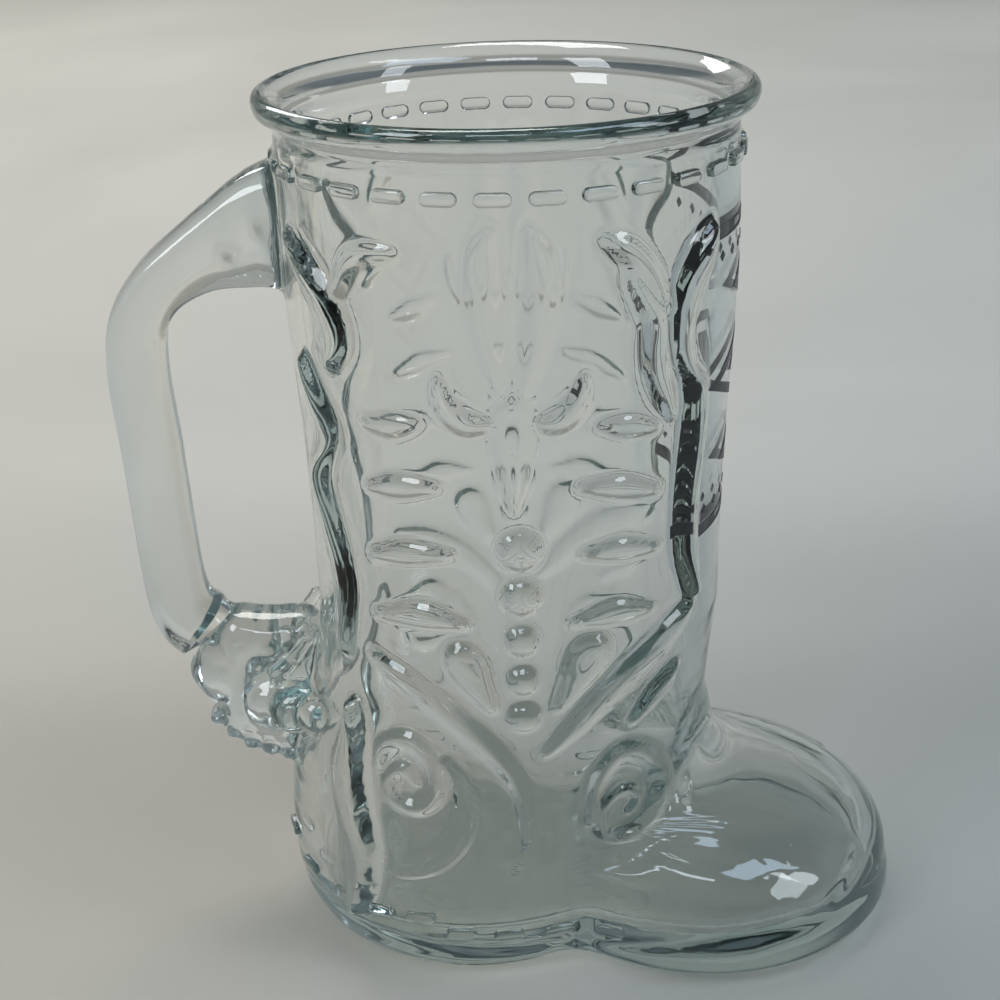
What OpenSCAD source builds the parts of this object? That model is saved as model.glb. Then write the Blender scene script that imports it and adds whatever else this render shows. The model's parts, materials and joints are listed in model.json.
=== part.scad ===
// Glass beer mug in the shape of a western boot, with a handle at the back.
// The mug is one pressed and blown piece of clear glass. Each region of the
// glass that the mould shapes by itself is a module here: lip, leg, foot, heel
// and sole, the handle with its two roots, and every raised ornament.
// The leg's axis is the Z axis, the toe points along +X, the handle along -X,
// and the two halves of the mould part on the plane Y = 0.

/* [Lip] */
// Height of the mug from the table to the lip
boot_h = 152; // [138:1:175]
// Outside diameter of the rolled lip
lip_d = 82; // [79:0.5:88]
// Thickness of the rolled lip
lip_roll_d = 4.8; // [4:0.1:5.5]
// Thickness of the glass at the mouth, inwards from the outside of the neck
mouth_wall = 2.5; // [2:0.1:3.3]

/* [Leg] */
// Outside diameter of the leg under the lip
neck_d = 76; // [74:0.5:77]
// Outside diameter of the leg at its narrowest
waist_d = 71; // [68:0.5:74]
// Thickness of the glass in the leg
leg_wall = 3.4; // [2.6:0.1:4.2]
// Height at which the leg runs into the foot
ankle_h = 62; // [58:1:68]

/* [Foot] */
// Reach of the toe in front of the leg's axis
toe_reach = 68.6; // [64:0.2:80]
// Reach of the heel behind the leg's axis
heel_reach = 43.2; // [41:0.2:46]
// Width across the heel where it stands
heel_w = 59; // [54:0.5:64]
// Width across the ball of the foot
ball_w = 72.5; // [66:0.5:76]
// Distance of the ball of the foot in front of the leg's axis
ball_x = 33.5; // [31:0.5:36]
// Height at which the instep meets the leg
instep_h = 40; // [36:0.5:44]
// Thickness of the glass in the foot
foot_wall = 4.2; // [3.4:0.1:5]
// Thickness of the glass floor above the heel and sole
floor_t = 5.5; // [4:0.1:8]

/* [Heel and sole] */
// Height of the arch over the table
arch_h = 2; // [1:0.1:3]
// How far the heel's flat lies inside the heel's width, on each side
heel_inset = 1.8; // [1.5:0.1:4]
// How far the sole's flat lies inside the ball's width, on each side
sole_inset = 3.8; // [3.2:0.1:6]
// Distance of the heel's breast in front of the leg's axis
breast_x = 3; // [1:0.5:5]
// Length of the arch from the heel's breast to the sole
arch_l = 11; // [8:0.5:14]
// Slope of the heel's and sole's edge, in width
edge_slope_w = 1.8; // [1:0.1:2]

/* [Handle] */
// Reach of the handle behind the leg's axis
handle_reach = 68.8; // [64:0.2:78]
// Depth of the grip, front to back
grip_depth = 10; // [8:0.2:12]
// Width of the grip, side to side
grip_w = 11.6; // [9:0.2:13]
// Width of the lower root, side to side
root_w = 15; // [12:0.2:18]
// Diameter of the beads under the lower root
bead_d = 3.4; // [2.4:0.1:4]

/* [Ornament] */
// Height of the raised ornament over the glass
relief_h = 1.1; // [0.6:0.05:1.5]
// Half of the width of a bold ridge
ridge_half_w = 2.4; // [1.8:0.05:2.8]
// Diameter of the largest stud
stud_d = 6.6; // [5:0.1:7]
// Number of stitches round the leg
stitch_count = 30; // [20:1:34]
// Length of a stitch
stitch_len = 6.1; // [4:0.1:6.4]
// Width of a stitch
stitch_w = 2.3; // [1.6:0.1:3]
// Height of a stitch over the glass
stitch_rise = 0.7; // [0.4:0.05:1]
// Distance of the stitches under the top of the lip
stitch_drop = 9.8; // [8.5:0.1:12]
// Number of leaves in the flame on each side of the toe
flame_count = 7; // [5:1:8]

/* [Print] */
// Thickness of the printed enamel
print_t = 0.2; // [0.15:0.05:0.4]
// Angle that the print takes up round the leg
print_turn = 67; // [48:1:69]
// Height of the print
print_h = 50; // [40:1:56]

/* [Hidden] */

$fn = 96;
glass = [0.74, 0.84, 0.83];
ink = [0.08, 0.08, 0.09];

waist_r = waist_d / 2;
neck_r = neck_d / 2;
mouth_r = neck_r - mouth_wall;
lip_roll_r = lip_roll_d / 2;
lip_ring_r = lip_d / 2 - lip_roll_r;
lip_h = lip_roll_d + 0.1 * lip_roll_d;
leg_top = boot_h - lip_h;
leg_h = leg_top - ankle_h;
grip_mid = handle_reach - grip_depth / 2;
sink = leg_wall / 4;            // how far ornament is set into the glass
foot_facets = 56;
round_power = 7;                // how sharply the two ovals of the foot meet

// Leg: [share of its height, share of the way from waist to neck]
leg_shares = [[0, 0], [0.1, 0.02], [0.22, 0.1], [0.36, 0.3], [0.5, 0.58], [0.63, 0.86], [0.75, 0.98],
              [0.88, 1], [0.95, 0.96], [0.985, 0.86], [1, 0.94]];

// Foot: [share of the ankle's height, share]. The heel goes from the leg's radius
// to its reach, the front of the leg is a share of the leg's radius, and the
// flank goes from the leg's radius to the heel's width.
heel_back_shares = [[0, 0.25], [0.03, 0.45], [0.08, 0.7], [0.16, 0.95], [0.3, 1], [0.48, 0.9],
                    [0.65, 0.62], [0.8, 0.3], [0.92, 0.08], [1, 0]];
leg_front_shares = [[0, 0.56], [0.16, 0.68], [0.32, 0.79], [0.48, 0.88], [0.61, 0.93], [0.73, 0.945],
                    [0.89, 0.975], [1, 1]];
flank_shares = [[0, 0.88], [0.03, 0.84], [0.08, 0.74], [0.16, 0.56], [0.32, 0.36], [0.48, 0.24],
                [0.65, 0.16], [0.8, 0.08], [1, 0]];

// Toe: [share of the instep's height, share of its reach, of its middle, of its width]
toe_front_shares = [[0, 0.975], [0.05, 0.99], [0.1, 1], [0.2, 0.997], [0.3, 0.983], [0.4, 0.95],
                    [0.5, 0.855], [0.575, 0.74], [0.65, 0.63], [0.7, 0.57], [0.75, 0.53], [0.8, 0.504],
                    [0.85, 0.483], [0.925, 0.447], [1, 0.405], [1.1, 0.3]];
toe_mid_shares = [[0, 1], [0.2, 0.985], [0.4, 0.93], [0.6, 0.76], [0.8, 0.57], [1, 0.4], [1.1, 0.3]];
toe_half_shares = [[0, 0.975], [0.05, 0.99], [0.15, 1], [0.25, 0.98], [0.35, 0.93], [0.45, 0.845],
                   [0.55, 0.7], [0.65, 0.565], [0.75, 0.465], [0.85, 0.39], [0.95, 0.325], [1.1, 0.2]];

// Middle of the foot's slices: [share of the ankle's height, share of the ball's distance]
slice_mid_shares = [[0, 0.39], [0.2, 0.36], [0.48, 0.22], [0.72, 0.03], [0.85, 0], [1, 0]];

// Heights of the slices, outside and inside
outer_slice_shares = [0, 0.03, 0.08, 0.13, 0.19, 0.25, 0.31, 0.37, 0.43, 0.48, 0.53, 0.58, 0.63, 0.68,
                      0.74, 0.82, 0.91, 1];
inner_slice_shares = [1, 0.9, 0.8, 0.7, 0.62, 0.54, 0.46, 0.38, 0.3, 0.22, 0.14, 0.07, 0.02, 0];

function leg_r(z) = waist_r + (neck_r - waist_r) * lookup((z - ankle_h) / leg_h, leg_shares);

// Distance from mid to an oval, along a ray at angle a
function oval_reach(a, mid, oval_x, oval_l, oval_w) =
    let (off = mid - oval_x,
         qa = pow(cos(a) / oval_l, 2) + pow(sin(a) / oval_w, 2),
         qb = 2 * off * cos(a) / pow(oval_l, 2),
         qc = pow(off / oval_l, 2) - 1,
         root = qb * qb - 4 * qa * qc)
    root > 0 ? max((sqrt(root) - qb) / (2 * qa), 0) : 0;

function slice_mid(z) = ball_x * lookup(z / ankle_h, slice_mid_shares);

// Leg and heel seen as one oval, drawn in by wall
function heel_oval(a, z, wall) =
    let (share = z / ankle_h,
         back = waist_r + (heel_reach - waist_r) * lookup(share, heel_back_shares) - wall,
         front = waist_r * lookup(share, leg_front_shares) - wall,
         half = waist_r + (heel_w / 2 - waist_r) * lookup(share, flank_shares) - wall)
    oval_reach(a, slice_mid(z), (front - back) / 2, (front + back) / 2, half);

// Toe and ball as another, whose roof is drawn down by wall
function toe_oval(a, z, wall) =
    let (share = (z + wall * 0.7) / instep_h,
         mid = ball_x * lookup(share, toe_mid_shares),
         long = toe_reach * lookup(share, toe_front_shares) - mid - wall * 0.85,
         half = ball_w / 2 * lookup(share, toe_half_shares) - wall * 0.85)
    share > 1.1 || long <= 0 || half <= 0 ? 0 : oval_reach(a, slice_mid(z), mid, long, half);

function reach(a, z, wall) =
    z >= ankle_h ? leg_r(z) - wall
    : pow(pow(heel_oval(a, z, wall), round_power) + pow(toe_oval(a, z, wall), round_power),
          1 / round_power);

function slice(z, level, wall, draw_in) =
    [for (i = [0 : foot_facets - 1])
        let (a = 360 * i / foot_facets, r = reach(a, z, wall) - draw_in)
        [slice_mid(z) + r * cos(a), r * sin(a), level]];

// A smooth curve through a few places, as steps points to each of them
function curve_point(p, i, t) =
    let (a = p[max(i - 1, 0)], b = p[i], c = p[i + 1], d = p[min(i + 2, len(p) - 1)])
    0.5 * (2 * b + (c - a) * t + (2 * a - 5 * b + 4 * c - d) * t * t + (3 * b - a - 3 * c + d) * t * t * t);
function curve(p, steps) =
    concat([for (i = [0 : len(p) - 2], k = [0 : steps - 1]) curve_point(p, i, k / steps)],
           [p[len(p) - 1]]);

function unit(v) = v / norm(v);

// Height that stands at a share of the mug's height: what lies under the ankle
// keeps to the foot, and what lies over it spreads with the leg
ankle_share = 0.408;
function up(share) =
    share < ankle_share ? ankle_h * share / ankle_share
    : ankle_h + (boot_h - ankle_h) * (share - ankle_share) / (1 - ankle_share);

// Half of the depth that ornament is laid out over, front to back
function span(z) = z > ankle_h ? leg_r(z) : waist_r;

// Distance of the back wall's middle from the leg's axis
function wall_x(z) = reach(180, z, leg_wall / 2) - slice_mid(z);

// Closed skin over a row of rings with the same number of points
module skin(rings) {
    n = len(rings[0]);
    rows = len(rings);
    polyhedron(
        points = [for (ring = rings) for (p = ring) p],
        faces = concat(
            [[for (j = [0 : n - 1]) j]],
            [for (i = [0 : rows - 2], j = [0 : n - 1])
                [i * n + j, (i + 1) * n + j, (i + 1) * n + (j + 1) % n]],
            [for (i = [0 : rows - 2], j = [0 : n - 1])
                [i * n + j, (i + 1) * n + (j + 1) % n, i * n + (j + 1) % n]],
            [[for (j = [n - 1 : -1 : 0]) (rows - 1) * n + j]]),
        convexity = 6);
}

// Angle and place on the near side of the glass that lie at x and z, seen
// square from the side, lifted off the glass along its normal
function side_angle(x, z, a = -90, tries = 6) =
    tries == 0 ? a
    : side_angle(x, z, -acos(max(-0.999, min(0.999, (x - slice_mid(z)) / reach(a, z, 0)))), tries - 1);
function glass_point(a, z) =
    [slice_mid(z) + reach(a, z, 0) * cos(a), reach(a, z, 0) * sin(a), z];
function side_point(x, z, lift) =
    let (a = side_angle(x, z),
         p = glass_point(a, z),
         round_way = glass_point(a + 2, z) - glass_point(a - 2, z),
         step = ankle_h / 60,
         up_way = glass_point(a, z + step) - glass_point(a, z - step))
    p + lift * unit(cross(round_way, up_way));

// A raised ridge with a rounded back, along places given as
// [share of the leg's radius there, share of the mug's height, share of a bold ridge]
ridge_shares = [[1, -1], [0.62, 0.62], [0, 1], [-0.62, 0.62], [-1, -1]];
function ridge_ring(q, way, rise) =
    let (across = unit([way[1], -way[0]]))
    [for (s = ridge_shares)
        side_point(q[0] + across[0] * q[2] * s[0], q[1] + across[1] * q[2] * s[0],
                   s[1] < 0 ? -sink : rise * s[1])];
module ridge(places, steps = 3, rise = relief_h) {
    line = [for (q = curve(places, steps)) let (z = up(q[1])) [q[0] * span(z), z, q[2] * ridge_half_w]];
    last = len(line) - 1;
    skin([for (i = [0 : last])
        let (way = line[min(i + 1, last)] - line[max(i - 1, 0)],
             fall = min(1, 0.45 + 0.55 * min(i, last - i)))
        ridge_ring(line[i], way, rise * fall)]);
}

// The same ornament stands on both sides of the mug
module both_sides() {
    children();
    mirror([0, 1, 0]) children();
}

// A stitch, upright on the glass at angle a, with its length along the seam
module stitch(rise) {
    linear_extrude(height = sink + rise) {
        square([stitch_len - stitch_w, stitch_w], center = true);
        for (end = [-1, 1])
            translate([end * (stitch_len - stitch_w) / 2, 0]) circle(d = stitch_w, $fn = 24);
    }
}

// Rolled lip, with the mouth's edge rounded
module lip() {
    edge_r = lip_roll_r / 2;
    color(glass)
    rotate_extrude() {
        translate([lip_ring_r, boot_h - lip_roll_r]) circle(r = lip_roll_r, $fn = 48);
        translate([mouth_r + edge_r, boot_h - edge_r]) circle(r = edge_r, $fn = 32);
        translate([mouth_r + edge_r, boot_h - lip_roll_r]) square([lip_ring_r - mouth_r - edge_r, lip_roll_r]);
        translate([mouth_r, leg_top]) square([lip_ring_r - mouth_r, lip_h - lip_roll_r]);
        translate([mouth_r, leg_top]) square([lip_ring_r - mouth_r, lip_h - edge_r]);
    }
}

// Leg, a tapered glass tube with a neck under the lip
module leg() {
    color(glass)
    rotate_extrude()
        polygon(concat(
            [for (s = leg_shares) [leg_r(ankle_h + leg_h * s[0]), ankle_h + leg_h * s[0]]],
            [[mouth_r, leg_top]],
            [for (i = [len(leg_shares) - 3 : -1 : 0])
                let (z = ankle_h + leg_h * leg_shares[i][0]) [min(leg_r(z) - leg_wall, mouth_r), z]]));
}

// Foot, one hollow shell from the arch to the ankle, with its glass floor
module foot() {
    floor_h = arch_h + floor_t;
    fillet = foot_wall * 0.8;
    color(glass)
    skin(concat(
        [for (s = outer_slice_shares)
            let (z = arch_h + (ankle_h - arch_h) * s) slice(z, z, 0, 0)],
        [for (s = inner_slice_shares)
            let (z = floor_h + (ankle_h - floor_h) * s,
                 wall = foot_wall + (leg_wall - foot_wall) * s)
            slice(z, z, wall, fillet * pow(max(0, 1 - s / 0.08), 2))]));
}

// Heel and sole: low cones of glass that stand on the table, cut straight at the arch
module seat(mid_x, flat_d) {
    translate([mid_x, 0, 0])
        cylinder(h = arch_h, r1 = flat_d / 2, r2 = flat_d / 2 + edge_slope_w);
}

heel_mid_share = 0.31;          // place of the heel's middle on its flat
module heel_seat() {
    heel_mid = (heel_w - heel_reach * 2) * heel_mid_share;
    color(glass)
    difference() {
        seat(heel_mid, heel_w - 2 * heel_inset);
        translate([breast_x, -heel_w, -arch_h]) cube([heel_w, 2 * heel_w, 3 * arch_h]);
    }
}

module sole_seat() {
    color(glass)
    difference() {
        seat(ball_x, ball_w - 2 * sole_inset);
        translate([breast_x + arch_l - ball_w, -ball_w, -arch_h]) cube([ball_w, 2 * ball_w, 3 * arch_h]);
    }
}

// Handle: [share of the way from the wall to the grip, share of the mug's height,
// share of the grip's depth, share of its width]
handle_shares = [[-0.026, 0.852, 2.5, 1.45], [0.125, 0.848, 2.15, 1.25], [0.318, 0.838, 1.75, 1.08],
                 [0.577, 0.818, 1.2, 1], [0.82, 0.786, 1, 1], [0.971, 0.742, 0.98, 1], [1, 0.68, 1, 1],
                 [0.968, 0.6, 1, 1], [0.943, 0.5, 1, 1], [0.913, 0.42, 1.02, 1], [0.853, 0.38, 1.12, 1.02],
                 [0.715, 0.355, 1.3, 1.08]];
root_rings = 3;                 // places of the handle that belong to the upper root
handle_steps = 3;
grip_facets = 16;

handle_line = curve([for (s = handle_shares)
    let (z = up(s[1]))
    [-wall_x(z) - (grip_mid - wall_x(z)) * s[0], z, grip_depth / 2 * s[2], grip_w / 2 * s[3]]],
    handle_steps);

// A rounded slice of the handle, square to its line
function handle_ring(i) =
    let (last = len(handle_line) - 1,
         q = handle_line[i],
         way = unit([for (k = [0, 1]) handle_line[min(i + 1, last)][k] - handle_line[max(i - 1, 0)][k]]))
    [for (k = [0 : grip_facets - 1])
        let (a = 360 * k / grip_facets,
             c = sign(cos(a)) * pow(abs(cos(a)), 0.8) * q[2],
             s = sign(sin(a)) * pow(abs(sin(a)), 0.8) * q[3])
        [q[0] + way[1] * c, s, q[1] - way[0] * c]];

module grip() {
    color(glass)
    skin([for (i = [len(handle_line) - 1 : -1 : root_rings * handle_steps]) handle_ring(i)]);
}

module upper_root() {
    color(glass)
    skin([for (i = [root_rings * handle_steps : -1 : 0]) handle_ring(i)]);
}

// Lower root: a thick rounded web between the grip's end and the heel.
// Its outline, as [share of the way from the wall to the grip, share of the ankle's height]
root_shares = [[0.09, 0.965], [0.387, 0.965], [0.666, 0.975], [0.78, 0.9], [0.875, 0.79], [0.88, 0.7],
               [0.802, 0.61], [0.682, 0.53], [0.468, 0.48], [0.209, 0.46], [-0.051, 0.455], [-0.078, 0.6],
               [-0.031, 0.8]];
// How far each layer of the web is drawn in, from its near face to its far one
layer_shares = [[-1, 0.72], [-0.86, 0.88], [-0.5, 0.98], [0, 1], [0.5, 0.98], [0.86, 0.88], [1, 0.72]];

function root_place(s) =
    let (z = ankle_h * s[1]) [-wall_x(z) - (grip_mid - wall_x(z)) * s[0], z];
root_line = curve(concat([for (s = root_shares) root_place(s)], [root_place(root_shares[0])]), 2);
root_mid = root_place([0.366, 0.72]);

module lower_root() {
    n = len(root_line) - 1;
    color(glass)
    skin([for (layer = layer_shares)
        [for (i = [n - 1 : -1 : 0])
            let (p = root_mid + (root_line[i] - root_mid) * layer[1])
            [p[0], layer[0] * root_w / 2, p[1]]]]);
}

// Beads along the underside of the lower root, in the root's own shares
bead_shares = [[0.816, 0.625], [0.71, 0.55], [0.565, 0.505], [0.392, 0.48], [0.223, 0.465]];
module root_beads() {
    color(glass)
    for (s = bead_shares)
        let (p = root_place(s))
        translate([p[0], 0, p[1]]) sphere(d = bead_d, $fn = 24);
}

module leg_stitches() {
    z = boot_h - stitch_drop;
    color(glass)
    for (i = [0 : stitch_count - 1])
        rotate([0, 0, -92.9 + 360 * i / stitch_count])
            translate([leg_r(z) - sink, 0, z]) rotate([90, 0, 90]) stitch(stitch_rise);
}

// Stitches of the welt: [share of the waist's radius, share of the ankle's height]
welt_shares = [[-1.1, 0.24], [-0.92, 0.225], [-0.73, 0.22], [-0.53, 0.225], [-0.33, 0.175],
               [-0.1, 0.16], [0.15, 0.15], [0.4, 0.15]];
module welt_stitches() {
    color(glass)
    both_sides()
    for (s = welt_shares)
        let (x = waist_r * s[0], z = ankle_h * s[1],
             p = side_point(x, z, -sink), n = unit(side_point(x, z, sink) - p))
        translate(p)
        rotate([0, acos(n[2]), atan2(n[1], n[0])]) rotate([0, 0, 90]) stitch(stitch_rise);
}

// Wavy piping down the front and the back of each side
front_piping_shares = [[0.804, 0.872, 0.21], [0.748, 0.843, 0.92], [0.666, 0.808, 1.17], [0.632, 0.762, 1],
                       [0.705, 0.72, 0.71], [0.763, 0.666, 0.83], [0.736, 0.6, 0.96], [0.745, 0.527, 0.92],
                       [0.799, 0.464, 0.4]];
back_piping_shares = [[-0.907, 0.868, 0.21], [-0.832, 0.839, 1], [-0.741, 0.807, 1.21], [-0.697, 0.773, 1.08],
                      [-0.738, 0.744, 0.4]];
low_piping_shares = [[-0.891, 0.737, 0.21], [-0.844, 0.694, 0.92], [-0.812, 0.662, 1], [-0.882, 0.605, 0.79],
                     [-0.851, 0.553, 0.92], [-0.807, 0.487, 0.92], [-0.83, 0.4, 0.4]];
heel_strap_shares = [[-0.82, 0.382, 0.25], [-0.83, 0.322, 1.25], [-0.84, 0.263, 1.75], [-0.82, 0.207, 1.58],
                     [-0.77, 0.158, 0.33]];
module side_piping() {
    color(glass)
    both_sides() {
        ridge(front_piping_shares, 2);
        ridge(back_piping_shares);
        ridge(low_piping_shares, 2);
        ridge(heel_strap_shares);
    }
}

// Forked plume in the middle of each side, with a drop under it
plume_left_shares = [[-0.121, 0.892, 0.33], [-0.131, 0.871, 0.9], [-0.126, 0.829, 0.9], [-0.113, 0.78, 0.7],
                     [-0.076, 0.734, 0.21]];
plume_right_shares = [[0.103, 0.891, 0.33], [0.112, 0.87, 0.9], [0.108, 0.829, 0.9], [0.085, 0.78, 0.7],
                      [0.047, 0.734, 0.21]];
drop_shares = [[-0.019, 0.728, 0.25], [-0.019, 0.705, 1.46], [-0.019, 0.671, 1.25], [-0.019, 0.638, 0.92],
               [-0.02, 0.605, 0.21]];
module plume() {
    color(glass)
    both_sides() {
        ridge(plume_left_shares);
        ridge(plume_right_shares);
        ridge(drop_shares);
    }
}

// Curled leaf tips at the top of the side, and two that droop beside the plume
leaf_tip_shares = [
    [[-0.721, 0.812, 0.21], [-0.654, 0.853, 0.67], [-0.58, 0.87, 0.71], [-0.467, 0.875, 0.21]],
    [[0.355, 0.884, 0.25], [0.43, 0.87, 0.83], [0.496, 0.843, 0.88], [0.563, 0.805, 0.25]],
    [[-0.33, 0.754, 0.21], [-0.295, 0.725, 0.79], [-0.22, 0.712, 0.88], [-0.124, 0.712, 0.21]],
    [[0.293, 0.753, 0.21], [0.257, 0.726, 0.79], [0.181, 0.714, 0.88], [0.095, 0.714, 0.21]],
    [[0.72, 0.38, 0.21], [0.63, 0.359, 0.92], [0.51, 0.33, 0.21]]];
module leaf_tips() {
    color(glass)
    both_sides()
        for (leaf = leaf_tip_shares) ridge(leaf);
}

// Slim leaves that lie across the leg in pairs
rib_shares = [
    [[-0.634, 0.689, 0.21], [-0.518, 0.693, 0.79], [-0.412, 0.7, 0.21]],
    [[-0.644, 0.625, 0.21], [-0.506, 0.633, 0.79], [-0.35, 0.637, 0.21]],
    [[-0.654, 0.544, 0.21], [-0.494, 0.555, 0.79], [-0.306, 0.559, 0.21]],
    [[-0.658, 0.476, 0.21], [-0.448, 0.488, 0.96], [-0.239, 0.483, 0.21]],
    [[0.587, 0.682, 0.21], [0.47, 0.692, 0.75], [0.345, 0.699, 0.21]],
    [[0.606, 0.616, 0.21], [0.438, 0.63, 0.75], [0.263, 0.638, 0.21]],
    [[0.614, 0.546, 0.21], [0.445, 0.555, 0.71], [0.287, 0.558, 0.21]],
    [[0.598, 0.478, 0.21], [0.419, 0.487, 0.92], [0.229, 0.482, 0.21]]];
module rib_leaves() {
    color(glass)
    both_sides()
        for (leaf = rib_shares) ridge(leaf);
}

// Studs down the middle: [share of the mug's height, share of the largest stud]
stud_shares = [[0.566, 1], [0.5125, 0.91], [0.466, 0.79], [0.418, 0.76], [0.37, 0.79]];
// A low dome on a short root that is set into the glass
module dome(r, rise) {
    ball_r = (r * r + rise * rise) / (2 * rise);
    rotate_extrude($fn = 48) {
        intersection() {
            translate([0, rise - ball_r]) circle(r = ball_r, $fn = 180);
            square([r, rise]);
        }
        translate([0, -sink]) square([r, sink]);
    }
}
module studs() {
    color(glass)
    both_sides()
        for (s = stud_shares)
            translate(side_point(0, up(s[0]), 0))
            rotate([90, 0, 0]) dome(stud_d / 2 * s[1], relief_h * 1.2);
}

// Three-cornered gems beside the studs
gem_shares = [
    [[-0.27, 0.451, 1.1], [-0.25, 0.434, 1.5], [-0.22, 0.409, 1.05], [-0.18, 0.384, 0.25]],
    [[0.31, 0.451, 1.2], [0.28, 0.434, 1.5], [0.22, 0.409, 1.05], [0.16, 0.384, 0.25]]];
module gems() {
    color(glass)
    both_sides()
        for (gem = gem_shares) ridge(gem);
}

// Two long bars that meet over the instep
bar_shares = [
    [[-0.69, 0.413, 0.33], [-0.54, 0.397, 0.92], [-0.34, 0.368, 1], [-0.15, 0.334, 0.85],
     [-0.06, 0.299, 0.55], [0, 0.25, 0.38], [0.02, 0.191, 0.17]],
    [[0.789, 0.45, 0.4], [0.7, 0.433, 1], [0.55, 0.408, 1.05], [0.37, 0.374, 0.9], [0.21, 0.337, 0.6],
     [0.1, 0.305, 0.21]]];
module chevron_bars() {
    color(glass)
    both_sides()
        for (bar = bar_shares) ridge(bar, 2);
}

// A scroll over the ball and one over the heel, each a spiral with a sickle under it:
// [middle, share of the waist's radius and of the mug's height; radius, as a share of
// the waist's radius; turns; angle at which it starts; way round]
scroll_shares = [[[0.46, 0.228], 0.215, 1.6, -125, 1], [[-0.54, 0.267], 0.21, 1.45, 150, -1]];
sickle_shares = [
    [[0.74, 0.201, 0.17], [0.75, 0.168, 0.62], [0.68, 0.146, 0.79], [0.56, 0.136, 0.62],
     [0.39, 0.142, 0.17]],
    [[-0.31, 0.3, 0.17], [-0.26, 0.26, 0.67], [-0.26, 0.22, 1], [-0.35, 0.183, 1],
     [-0.48, 0.157, 0.67], [-0.62, 0.141, 0.17]]];
function spiral(s) =
    let (points = 22)
    [for (i = [0 : points])
        let (t = i / points, a = s[3] + s[4] * 360 * s[2] * t, r = s[1] * (1 - 0.72 * t))
        [s[0][0] + r * cos(a), s[0][1] + r * sin(a) * waist_r * ankle_share / ankle_h,
         0.2 + 0.36 * sin(180 * min(1, t * 1.1 + 0.05))]];
module scrolls() {
    color(glass)
    both_sides() {
        for (s = scroll_shares) ridge(spiral(s), 1);
        for (s = sickle_shares) ridge(s, 2);
    }
}

// A flame of pointed leaves along each side of the toe, between a row of
// tops and a row of tips: [share of the toe's reach, share of the instep's height]
flame_top_shares = [[0.43, 0.66], [0.53, 0.585], [0.66, 0.5], [0.8, 0.42], [0.885, 0.31]];
flame_tip_shares = [[0.37, 0.5], [0.45, 0.41], [0.57, 0.38], [0.7, 0.345], [0.82, 0.26]];
module toe_flames() {
    top_line = curve(flame_top_shares, 4);
    tip_line = curve(flame_tip_shares, 4);
    last = len(top_line) - 1;
    color(glass)
    both_sides()
        for (i = [0 : flame_count - 1])
            let (k = i * last / (flame_count - 1), j = min(floor(k), last - 1), t = k - j,
                 to_shares = [toe_reach / waist_r, instep_h * ankle_share / ankle_h],
                 top = top_line[j] * (1 - t) + top_line[j + 1] * t,
                 tip = tip_line[j] * (1 - t) + tip_line[j + 1] * t,
                 row = [for (m = [[0, 0.3], [0.35, 0.75], [0.7, 0.6], [1, 0.12]])
                     let (q = top + (tip - top) * m[0])
                     [q[0] * to_shares[0], q[1] * to_shares[1], m[1]]])
            ridge(row, 2);
}

// Printed enamel on the front of the leg: a column of plain diamonds between two bars
diamond_shares = [[0.2, 0.6], [0.5, 1], [0.8, 0.6]];
print_mid_share = 0.51;
module front_print() {
    low = ankle_h + leg_h * print_mid_share - print_h / 2;
    diamond_h = print_h * 0.3;
    color(ink)
    intersection() {
        translate([0, 0, low])
        rotate([90, 0, 90])
        linear_extrude(height = neck_d)
            for (s = diamond_shares) {
                w = neck_r * sin(print_turn / 2) * s[1];
                h = diamond_h * s[1];
                translate([0, print_h * s[0]])
                    polygon([[-w, 0], [0, -h / 2], [w, 0], [0, h / 2]]);
            }
        print_band(low);
    }
    color(ink)
    for (z = [low - print_t, low + print_h])
        rotate([0, 0, -print_turn / 2])
        rotate_extrude(angle = print_turn)
            polygon([[leg_r(z) - print_t, z], [leg_r(z) + print_t, z],
                     [leg_r(z) + print_t, z + stitch_w], [leg_r(z) - print_t, z + stitch_w]]);
}

// Thin band of the leg's own surface that carries the print
module print_band(low) {
    levels = [for (s = leg_shares) ankle_h + leg_h * s[0]];
    rotate_extrude()
        polygon(concat([for (z = levels) [leg_r(z) - print_t, z]],
                       [for (i = [len(levels) - 1 : -1 : 0]) [leg_r(levels[i]) + print_t, levels[i]]]));
}

lip();
leg();
foot();
heel_seat();
sole_seat();
grip();
upper_root();
lower_root();
root_beads();
leg_stitches();
welt_stitches();
side_piping();
plume();
leaf_tips();
rib_leaves();
studs();
gems();
chevron_bars();
scrolls();
toe_flames();
front_print();
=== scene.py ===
import bpy
import bmesh
import json
import math
import numpy as np
from mathutils import Matrix, Vector

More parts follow.
